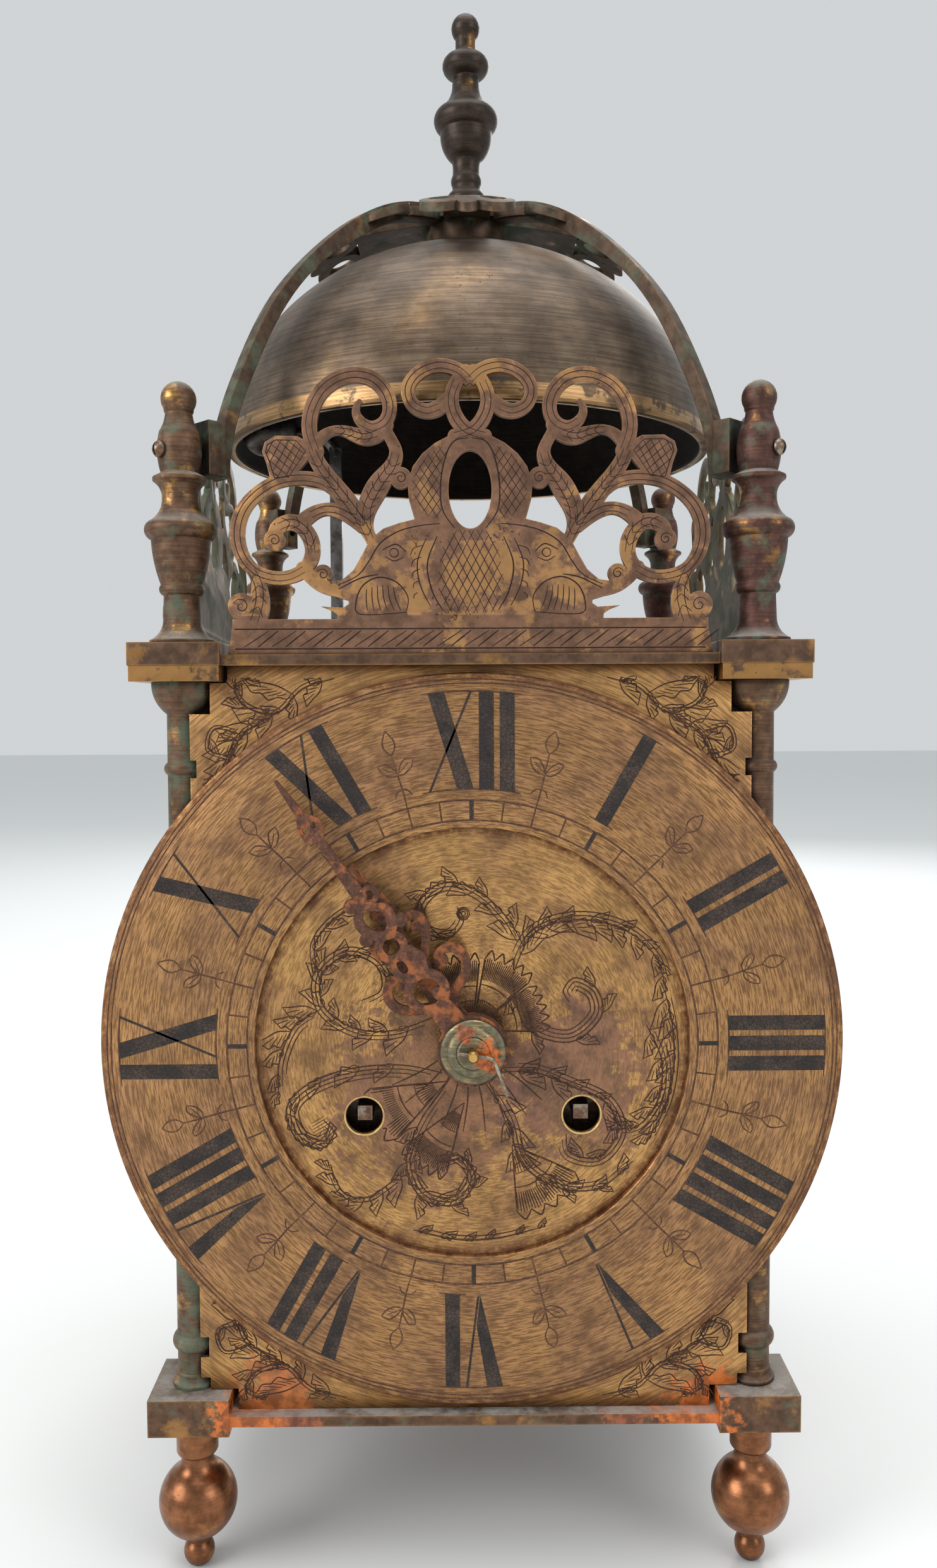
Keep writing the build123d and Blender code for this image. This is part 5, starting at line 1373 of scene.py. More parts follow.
@dataclass
class Engraving:
    """Cut lines gathered on one face, then made as one piece of thin dark strokes."""

    keep: Callable[[Point], bool] = lambda at: True
    strokes: list[tuple[list[Point], float, bool]] = field(default_factory=list)
    dice: random.Random = field(default_factory=lambda: random.Random(7))

    def line(
        self, points: list[Point], width: float = 0.26, taper: bool = True, smooth: bool = True
    ) -> list[Point]:
        """Add a stroke and return its smooth line.

        Args:
            points: places it runs through.
            width: its width.
            taper: whether it thins toward its ends.
            smooth: whether it bends through its places or runs straight between them.

        Returns:
            The whole line, before the parts outside the drawing are left out.
        """
        path = curve(points) if smooth and len(points) > 2 else points
        run: list[Point] = []
        for at in [*path, None]:
            if at is not None and self.keep(at):
                run.append(at)
            elif run:
                if len(run) > 1:
                    self.strokes.append((run, width, taper))
                run = []
        return path

    def leaf(self, root: Point, tip: Point, belly: float, width: float = 0.34, veins: int = 5) -> None:
        """A leaf: two sides that meet in a tip, with veins fanned from its root.

        Args:
            root: where it leaves its stem.
            tip: its point.
            belly: how far its wide side stands out, left of its direction if positive.
            width: stroke width.
            veins: number of veins.
        """
        dx, dz = tip[0] - root[0], tip[1] - root[1]
        side = (-dz, dx)
        long = math.hypot(dx, dz) or 1.0
        u = (side[0] / long, side[1] / long)

        def at(along: float, out: float) -> Point:
            """Place along the leaf and out from its middle line."""
            return (root[0] + dx * along + u[0] * out, root[1] + dz * along + u[1] * out)

        edge = [
            at(i / 12, belly * math.sin(math.pi * i / 12) ** 0.7 * (1 + 0.2 * math.sin(math.tau * i / 4)))
            for i in range(13)
        ]
        self.line(edge, width)
        self.line([root, at(0.35, -belly * 0.35), at(0.75, -belly * 0.1), tip], width)
        for i in range(veins):
            t = 0.22 + 0.58 * i / max(1, veins - 1)
            swell = belly * math.sin(math.pi * t)
            self.line(
                [at(t * 0.62, swell * 0.1), at(t * 0.85, swell * 0.45), at(t + 0.08, swell * 0.88)],
                width * 0.72,
            )

    def spray(
        self, path: list[Point], side: float, count: int, long: float, start: float = 0.1, end: float = 0.95
    ) -> None:
        """Leaves along one side of a stem, shrinking toward its end.

        Args:
            path: the stem's line.
            side: 1 for its left and -1 for its right.
            count: number of leaves.
            long: length that the leaves' lengths are taken from.
            start: share of the stem before the first leaf.
            end: share of the stem before the last leaf.
        """
        for i in range(count):
            t = start + (end - start) * i / max(1, count - 1)
            k = min(len(path) - 2, int(t * (len(path) - 1)))
            (x, z), (x2, z2) = path[k], path[k + 1]
            heading = math.atan2(z2 - z, x2 - x) + side * math.radians(38 + self.dice.uniform(-8, 8))
            reach = 1.25 * long * (1 - 0.4 * t) * self.dice.uniform(0.85, 1.15)
            tip = (x + reach * math.cos(heading), z + reach * math.sin(heading))
            self.leaf((x, z), tip, -side * reach * 0.3, veins=4)

    def scroll(self, path: list[Point], lines: int = 3, gap: float = 0.95, width: float = 0.4) -> list[Point]:
        """A stem of parallel lines.

        Args:
            path: places it runs through.
            lines: number of lines.
            gap: distance between them.
            width: width of the first line.

        Returns:
            The first line.
        """
        smooth = self.line(path, width)
        for i in range(1, lines):
            self.line(beside(smooth, gap * i)[2 * i : -2 * i or None], width * 0.8, smooth=False)
        return smooth

    def grow(self, path: list[Point], lines: int, *sprays: tuple[float, ...], gap: float = 0.95) -> None:
        """A scroll with its leaves.

        Args:
            path: places its stem runs through.
            lines: number of lines in its stem.
            sprays: for each row of leaves, what spray takes after the stem's line.
            gap: distance between the stem's lines.
        """
        stem = self.scroll(path, lines, gap)
        for row in sprays:
            self.spray(stem, *row)

    def shell(self, centre: Point, heading: float, reach: float, span: float, lobes: int) -> None:
        """A fan of scalloped lobes with short rays inside.

        Args:
            centre: its root.
            heading: its middle direction, in degrees.
            reach: its length.
            span: its opening, in degrees.
            lobes: number of lobes.
        """

        def polar(angle: float, r: float) -> Point:
            """Place at an angle, in degrees, and a distance from the root."""
            return (
                centre[0] + r * math.cos(math.radians(angle)), centre[1] + r * math.sin(math.radians(angle))
            )

        low = heading - span / 2
        for i in range(lobes):
            a, b = low + span * i / lobes, low + span * (i + 1) / lobes
            self.line(
                [
                    polar(a, reach * 0.93), polar((a * 3 + b) / 4, reach), polar((a + b) / 2, reach * 1.05),
                    polar((a + b * 3) / 4, reach), polar(b, reach * 0.93),
                ],
                0.42,
            )
            for k in range(5):
                ray = a + (b - a) * (k + 0.5) / 5
                long = reach * (0.9 + 0.05 * math.sin(math.pi * (k + 0.5) / 5))
                self.line(
                    [polar(ray, reach * 0.66), polar(ray, reach * 0.8), polar(ray, long)], 0.36, smooth=False
                )
        for ring, width in ((0.6, 0.34), (0.4, 0.28)):
            self.line([polar(low + span * i / 12, reach * ring) for i in range(13)], width)
        for k in range(lobes * 2):
            ray = low + span * (k + 0.5) / (lobes * 2)
            self.line(
                [polar(ray, reach * 0.16), polar(ray, reach * 0.3), polar(ray, reach * 0.39)], 0.3,
                smooth=False,
            )
        self.line([centre, polar(low, reach * 0.5), polar(low, reach * 0.93)], 0.4)
        self.line([centre, polar(low + span, reach * 0.5), polar(low + span, reach * 0.93)], 0.4)

    def hatch(self, region: list[Point], heading: float, gap: float, width: float = 0.2) -> None:
        """Parallel strokes clipped to a region.

        Args:
            region: its outline.
            heading: direction of the strokes, in degrees.
            gap: distance between them.
            width: stroke width.
        """
        c, s = math.cos(math.radians(heading)), math.sin(math.radians(heading))
        turned = [(x * c + z * s, -x * s + z * c) for x, z in region]
        low, high = min(v for _, v in turned), max(v for _, v in turned)
        level = low + gap / 2
        while level < high:
            cuts = []
            for (u1, v1), (u2, v2) in zip(turned, turned[1:] + turned[:1]):
                if (v1 - level) * (v2 - level) < 0:
                    cuts.append(u1 + (u2 - u1) * (level - v1) / (v2 - v1))
            cuts.sort()
            for a, b in zip(cuts[::2], cuts[1::2]):
                if b - a > gap * 0.4:
                    ends = [(u * c - level * s, u * s + level * c) for u in (a + 0.1, (a + b) / 2, b - 0.1)]
                    self.line(ends, width, smooth=False)
            level += gap

    def build(self, name: str, front: float, level: float, proud: float = 0.22) -> Body:
        """Make the strokes as one mesh on an upright face.

        Args:
            name: the piece's name.
            front: the face's Y.
            level: Z of the drawing's own zero.
            proud: thickness of a stroke against its width.

        Returns:
            The piece.
        """
        clear_bench()
        data = bpy.data.curves.new(name, "CURVE")
        data.dimensions = "3D"
        data.bevel_depth = MM
        data.bevel_resolution = 0
        data.use_fill_caps = False
        for path, width, taper in self.strokes:
            line = data.splines.new("POLY")
            line.points.add(len(path) - 1)
            last = len(path) - 1
            for i, (x, z) in enumerate(path):
                swell = 1.0 if not taper else 0.35 + 0.65 * math.sin(
                    math.pi * (0.12 + 0.76 * i / max(1, last))
                )
                line.points[i].co = (x * MM, 0.0, z * MM, 1.0)
                line.points[i].radius = width / 2 * swell
        piece = bpy.data.objects.new(name, data)
        bpy.context.scene.collection.objects.link(piece)
        take(piece)
        bpy.ops.object.convert(target="MESH")
        piece = bpy.context.object
        place(piece, Matrix.Translation((0, front * MM, level * MM)) @ Matrix.Diagonal((1, proud, 1, 1)))
        return piece


# ---- dial ----
def from_twelve(reach: float, angle: float) -> Point:
    """Place at a distance from the dial's middle and an angle clockwise from twelve, in radians."""
    return (reach * math.sin(angle), reach * math.cos(angle))


class Glyph(Enum):
    """Letters of the hour numerals and their widths."""

    I = 3.35
    V = 8.6
    X = 10.2


@dataclass
class HourRing:
    """Raised ring with its numerals, quarter track and half-hour sprigs."""

    radius: float = 85.0
    bore: float = 49.8
    base: float = 58.7
    top: float = 80.8
    track: tuple[float, float] = (51.6, 56.2)
    rim_lines: tuple[float, float] = (82.6, 83.5)
    proud: float = 0.05
    sunk: float = 0.02
    gap: float = 1.35
    serif: float = 1.6
    inner_serif: float = 1.4

    def build(self, metals: Metals) -> list[Body]:
        """Turn the ring and lay its markings.

        Args:
            metals: the finishes.

        Returns:
            The pieces made.
        """
        back, front, bore, radius = -DIAL_FRONT, -RING_FRONT, self.bore, self.radius
        outline = [(bore, back), (bore, front - 0.35), (bore + 0.12, front - 0.1), (bore + 0.4, front)]
        outline += [(radius - 0.5, front), (radius - 0.15, front - 0.15), (radius, front - 0.5)]
        outline += [(radius, back), (bore, back)]
        ring = smooth(to_dial(turn("turned_hour_ring", outline, 256)), LIP_SMOOTH)
        fit(dress(ring, metals.ring), "gilt_brass", "chapter_ring")
        marks = [self.numerals(metals), self.hour_ticks(metals), self.fine_lines(metals)]
        return [ring, *marks]

    def bar(self, corners: list[Point], hour: float) -> Body:
        """One solid stroke: a plane whose corners are set, then subdivided and extruded forward.

        Args:
            corners: its four corners in the numeral's own frame, counter-clockwise.
            hour: the hour it belongs to.

        Returns:
            The stroke.
        """
        clear_bench()
        bpy.ops.mesh.primitive_plane_add(size=MM, location=(0, 0, 0))
        piece = bpy.context.object
        angle = -math.radians(HOUR_TURN * hour)
        order = (0, 1, 3, 2)
        for vert, k in zip(piece.data.vertices, order):
            u, v = corners[k]
            x, z = u * math.cos(angle) - v * math.sin(angle), u * math.sin(angle) + v * math.cos(angle)
            vert.co = (x * MM, RING_FRONT * MM + self.sunk * MM, (DIAL_Z + z) * MM)
        open_mesh(piece)
        bpy.ops.mesh.subdivide(number_cuts=3)
        rise = (0, -(self.proud + self.sunk) * MM, 0)
        bpy.ops.mesh.extrude_region_move(TRANSFORM_OT_translate={"value": rise})
        bpy.ops.mesh.select_all(action="SELECT")
        bpy.ops.mesh.normals_make_consistent(inside=False)
        close_mesh()
        return piece

    def end(self, u: float, outer: bool) -> Point:
        """Point of a stroke's end on the numeral's outer or inner arc."""
        reach = self.top if outer else self.base
        return (u, math.sqrt(reach * reach - u * u))

    def strokes(self, glyph: Glyph, at: float) -> list[list[Point]]:
        """Corners of each stroke of a letter centred at a place along the numeral.

        Args:
            glyph: the letter.
            at: its middle along the numeral.

        Returns:
            Four corners for each stroke.
        """

        def up(u: float) -> Point:
            """Place on the numeral's outer arc."""
            return self.end(at + u, True)

        def low(u: float) -> Point:
            """Place on its inner arc."""
            return self.end(at + u, False)

        if glyph is Glyph.I:
            return [[low(-1.68), low(1.68), up(1.68), up(-1.68)]]
        if glyph is Glyph.X:
            return [[low(1.5), low(5.2), up(-1.4), up(-5.1)], [low(-5.0), low(-4.45), up(4.9), up(4.35)]]
        join_u, join_v = 1.75, low(0)[1] + 7.6
        tip = low(1.0)
        thick = [(tip[0] - 0.1, tip[1] + 0.2), (at + join_u, join_v), up(-0.7), up(-4.3)]
        return [thick, [(tip[0] + 0.1, tip[1] + 0.2), (tip[0] + 0.6, tip[1] + 0.6), up(4.3), up(3.75)]]

    def numerals(self, metals: Metals) -> Body:
        """All twelve numerals as one inlaid piece.

        Args:
            metals: the finishes.

        Returns:
            The piece.
        """
        bars: list[Body] = []
        serifs = Engraving()
        words = ["I", "II", "III", "IIII", "V", "VI", "VII", "VIII", "IX", "X", "XI", "XII"]
        for hour, word in enumerate(words, start=1):
            letters = [Glyph[c] for c in word]
            wide = sum(g.value for g in letters) + self.gap * (len(letters) - 1)
            at, first, last = -wide / 2, None, None
            for glyph in letters:
                middle = at + glyph.value / 2
                bars += [self.bar(corners, hour) for corners in self.strokes(glyph, middle)]
                if glyph is not Glyph.V:
                    first = at if first is None else first
                    last = at + glyph.value
                at += glyph.value + self.gap
            self.arc(serifs, self.top, -wide / 2 - self.serif, wide / 2 + self.serif, hour)
            if first is not None:
                self.arc(serifs, self.base, first - self.inner_serif, last + self.inner_serif, hour)
        piece = join(bars, "numerals")
        bpy.ops.object.shade_flat()
        dress(piece, metals.wax)
        lines = serifs.build("serif_lines", RING_FRONT, DIAL_Z)
        dress(lines, metals.ring_cut)
        piece = join([piece, lines], "inlaid_numerals")
        return fit(piece, "gilt_brass")

    @staticmethod
    def arc(
        drawing: Engraving, reach: float, start: float, end: float, hour: float, width: float = 0.42
    ) -> None:
        """Draw a thin arc between two places along a numeral.

        Args:
            drawing: the drawing that takes the lines.
            reach: its radius.
            start: where it starts along the numeral.
            end: where it ends.
            hour: the hour it belongs to.
            width: its width.
        """
        line = []
        for i in range(13):
            angle = (start + (end - start) * i / 12) / reach + math.radians(HOUR_TURN * hour)
            line.append(from_twelve(reach, angle))
        drawing.line(line, width, taper=True, smooth=False)

    def hour_ticks(self, metals: Metals) -> Body:
        """Twelve broad ticks across the track.

        Args:
            metals: the finishes.

        Returns:
            The piece.
        """
        low, high = self.track
        ticks = [
            self.bar([(-0.49, low), (0.49, low), (0.49, high), (-0.49, high)], hour) for hour in range(12)
        ]
        piece = join(ticks, "hour_ticks")
        dress(piece, metals.wax)
        return fit(piece, "gilt_brass")

    def fine_lines(self, metals: Metals) -> Body:
        """Circles, quarter ticks and half-hour sprigs.

        Args:
            metals: the finishes.

        Returns:
            The piece.
        """
        drawing = Engraving()
        circles = [(reach, 0.42) for reach in self.track] + [(reach, 0.34) for reach in self.rim_lines]
        for reach, width in circles:
            circle = [from_twelve(reach, math.tau * i / 180) for i in range(181)]
            drawing.line(circle, width, taper=False, smooth=False)
        low, high = self.track
        for quarter in range(48):
            if quarter % 4:
                angle = math.tau * quarter / 48
                ends = [from_twelve(reach, angle) for reach in (low, (low + high) / 2, high)]
                drawing.line(ends, 0.4, taper=False, smooth=False)
        for half in range(12):
            self.sprig(drawing, math.radians(HOUR_TURN * half + HOUR_TURN / 2))
        piece = drawing.build("ring_lines", RING_FRONT, DIAL_Z)
        dress(piece, metals.ring_cut)
        return fit(piece, "gilt_brass")

    @staticmethod
    def sprig(drawing: Engraving, angle: float) -> None:
        """A half-hour sprig: stem, two side leaves, a leaf at its end and two short curls.

        Args:
            drawing: the drawing that takes the lines.
            angle: its angle clockwise from twelve, in radians.
        """
        jig = drawing.dice

        def at(u: float, v: float) -> Point:
            """Place across and along the half hour's ray."""
            return (u * math.cos(angle) + v * math.sin(angle), -u * math.sin(angle) + v * math.cos(angle))

        lean = jig.uniform(-0.5, 0.5)
        drawing.line([at(0, 56.2), at(0.1, 60.0), at(lean * 0.5, 65.0), at(lean, 69.0)], 0.42)
        tip = 74.2 + jig.uniform(-0.4, 0.6)
        for side in (-1, 1):
            drawing.line(
                [at(lean, 68.6), at(lean + side * 1.25, 70.4), at(lean + side * 1.2, 72.2), at(lean, tip)],
                0.38,
            )
            long = jig.uniform(3.6, 4.4)
            drawing.line(
                [at(0.1, 64.0), at(side * 1.5, 64.0), at(side * long * 0.8, 65.2), at(side * long, 67.0)],
                0.38,
            )
            drawing.line(
                [at(0.1, 64.2), at(side * 1.0, 66.0), at(side * 2.4, 67.2), at(side * long, 67.0)], 0.38
            )
            drawing.line([at(0.1, 60.6), at(side * 1.2, 60.2), at(side * 2.0, 59.0)], 0.34)
            drawing.line([at(0.1, 64.3), at(side * 1.8, 65.4), at(side * 3.0, 66.3)], 0.26)


@dataclass
class DialPlate:
    """Dial plate: eased plate, bright winding holes and foliage cut round the middle and in the corners."""

    hole: float = 4.25
    middle: tuple[float, float] = (5.0, 48.6)
    past_ring: float = 84.0
    corner_across: float = 61.2
    corner_top: float = 84.0
    corner_low: float = 84.6
    notch: tuple[float, float] = (58.4, 77)

    def build(self, metals: Metals) -> list[Body]:
        """Make the plate and its engraving.

        Args:
            metals: the finishes.

        Returns:
            The pieces made.
        """
        plate = eased_copy("dial_plate", 0.12)
        dress(plate, metals.dial)
        fit(plate, "gilt_brass", "dial_plate")
        centre = Engraving(keep=self.in_middle)
        self.foliage(centre)
        middle = centre.build("dial_engraving", DIAL_FRONT, DIAL_Z)
        dress(middle, metals.cut)
        fit(middle, "gilt_brass")
        corners = Engraving(keep=self.in_corner)
        for sx in (-1, 1):
            for sz in (-1, 1):
                self.corner_leaves(corners, sx, sz)
        outer = corners.build("corner_engraving", DIAL_FRONT, DIAL_Z)
        dress(outer, metals.cut)
        fit(outer, "gilt_brass")
        rims = [self.rim(at) for at in WINDING]
        holes = join(rims, "winding_hole_rims")
        dress(holes, metals.rim)
        fit(holes, "gilt_brass")
        return [plate, middle, outer, holes]

    def rim(self, at: Point) -> Body:
        """Thin bright chamfer round a winding hole.

        Args:
            at: the hole's middle from the dial's.

        Returns:
            The rim.
        """
        r = self.hole
        outline = [
            (r - 0.02, 70.4), (r - 0.02, 70.7), (r + 0.12, 70.84), (r + 0.42, 70.84), (r + 0.5, 70.7),
            (r - 0.02, 70.4),
        ]
        return smooth(to_dial(turn("rim", outline, 64), at))

    def in_middle(self, at: Point) -> bool:
        """Whether a point is on the open middle of the dial, off both winding holes."""
        clear = all(math.hypot(at[0] - x, at[1] - z) > self.hole + 0.7 for x, z in WINDING)
        return clear and self.middle[0] < math.hypot(*at) < self.middle[1]

    def in_corner(self, at: Point) -> bool:
        """Whether a point is on a corner of the plate outside the ring.

        Args:
            at: the point, from the dial's middle.

        Returns:
            Whether it is there.
        """
        x, z = abs(at[0]), abs(at[1])
        on_plate = x < self.corner_across and z < (self.corner_top if at[1] > 0 else self.corner_low)
        in_notch = x > self.notch[0] and z > self.notch[1]
        return math.hypot(x, z) > self.past_ring and on_plate and not in_notch

    def foliage(self, cut: Engraving) -> None:
        """Scrolls and leaves round the middle.

        Args:
            cut: the drawing that takes the lines.
        """
        cut.grow(
            [
                (9, 15), (12.3, 3.5), (22.3, 0), (29.5, 5.7), (28.8, 12.1), (23.7, 15), (20.9, 12.1),
                (22.3, 9.3),
            ],
            4, (-1, 5, 5.5, 0.05, 0.6),
        )
        cut.grow(
            [
                (9, 15), (12.3, 23), (15.9, 26.5), (22.3, 28.3), (29.5, 27.9), (36.7, 25), (42.4, 19.3),
                (44.5, 12.1),
            ],
            3, (-1, 9, 7.5), (1, 7, 5.5, 0.15, 0.9),
        )
        cut.grow([(44.2, 12), (46, 4), (46.4, -6), (44.5, -15), (40, -24)], 2, (-1, 9, 6.5))
        cut.grow([(40, 4), (43.5, -4), (43, -13), (38.5, -19.5), (33, -20.5)], 3, (-1, 6, 5.5))
        cut.grow(
            [
                (12, 22), (8, 29), (1, 35.5), (-7, 37), (-12.5, 32), (-11, 26), (-5.5, 24.5), (-2, 28),
                (-3.4, 31.5),
            ],
            3, (1, 7, 6.0, 0.05, 0.7), (-1, 5, 4.5, 0.1, 0.55),
        )
        for r in (0.5, 1.0, 1.4):
            cut.line(spiral((-2.0, 30.0), r, r, 0, 1.0), 0.4, smooth=False)
        for angle, reach in ((60, 18.0), (104, 17.0), (18, 17.0)):
            cut.shell((0, 3), angle, reach, 40, 5)
        cut.grow(
            [
                (-9, 6), (-18, 3), (-27, 3.5), (-34, 8.5), (-34.5, 16), (-28.5, 20.5), (-22, 18), (-21, 12.5),
                (-25.5, 10),
            ],
            3, (1, 8, 6.5, 0.1, 0.75), (-1, 6, 4.5, 0.15, 0.6),
        )
        cut.grow([(-34.8, 14), (-36, 23), (-30, 30), (-21, 33), (-15, 28)], 2, (-1, 7, 6.0))
        cut.grow([(-35, 8), (-41, 4), (-44.5, -4), (-44.8, -12)], 3, (-1, 6, 7.0))
        cut.grow(
            [
                (-7, -7), (-16.4, -5.1), (-27.9, -5.8), (-38, -9.4), (-43, -15.1), (-40.8, -22.3),
                (-35, -24.5), (-32.2, -20.9), (-34.4, -18),
            ],
            4, (1, 8, 6.0, 0.15, 0.8),
        )
        cut.hatch([(-37.5, -18), (-34.6, -16.6), (-32.6, -19), (-34, -22), (-37, -22)], 30, 0.7, 0.2)
        cut.shell((-6, -9), 207, 19.0, 44, 4)
        cut.shell((-2, -14), 236, 18.0, 40, 5)
        cut.grow(
            [
                (-5, -8), (-12, -18), (-15.5, -28), (-12, -36.5), (-4, -38), (0.5, -32), (-3, -26.5),
                (-8, -28), (-7.5, -31.5),
            ],
            3, (1, 8, 6.5, 0.2, 0.75), (-1, 6, 5.0, 0.15, 0.7),
        )
        cut.grow([(-16, -30), (-24, -36), (-30, -35), (-33, -29)], 2, (1, 6, 6.0))
        cut.grow(
            [(4, -7), (14, -7), (22, -10), (30.5, -14), (33.5, -21), (29, -27), (22.5, -26), (21.5, -21.5)],
            3, (-1, 7, 6.0, 0.1, 0.8), (1, 5, 4.6, 0.1, 0.5),
        )
        cut.shell((9, -24), 305, 17.0, 62, 5)
        cut.grow(
            [(2, -8), (8, -18), (11, -28), (19, -34), (29, -34.5), (37, -28)], 3, (1, 7, 6.0, 0.1, 0.9),
            (-1, 5, 5.0, 0.2, 0.8),
        )
        cut.grow([(-14, -44), (-4, -46.3), (6, -46), (16, -43.5)], 2, (1, 6, 3.6))
        for i in range(9):
            angle = math.radians(-158 + i * 14)
            bends = ((6, angle), (13, angle + 0.12), (21, angle + 0.1))
            cut.line([(reach * math.cos(way), reach * math.sin(way)) for reach, way in bends], 0.34)

    @staticmethod
    def corner_leaves(cut: Engraving, sx: int, sz: int) -> None:
        """Foliage of one corner, mirrored by its signs.

        Args:
            cut: the drawing that takes the lines.
            sx: 1 for the right and -1 for the left.
            sz: 1 for the top and -1 for the foot.
        """
        local = Engraving(dice=cut.dice)
        local.grow(
            [(30, 84), (38, 81.5), (44, 76), (51, 77.5), (53.5, 82), (50, 84)], 2, (-1, 6, 6.0), (1, 4, 4.5),
            gap=0.8,
        )
        local.grow([(44, 76), (52, 71), (56, 63), (60.5, 58)], 2, (1, 6, 7.5), (-1, 5, 6.0), gap=0.8)
        local.grow([(52, 71), (58, 72.5), (59.5, 68), (56, 66.5)], 2, (-1, 3, 4.0), gap=0.7)
        local.leaf((40, 80), (52, 84), -2.4, veins=5)
        local.leaf((58, 62), (60.8, 54), 2.2, veins=4)
        for path, width, taper in local.strokes:
            cut.line([(sx * x, sz * z) for x, z in path], width, taper, smooth=False)


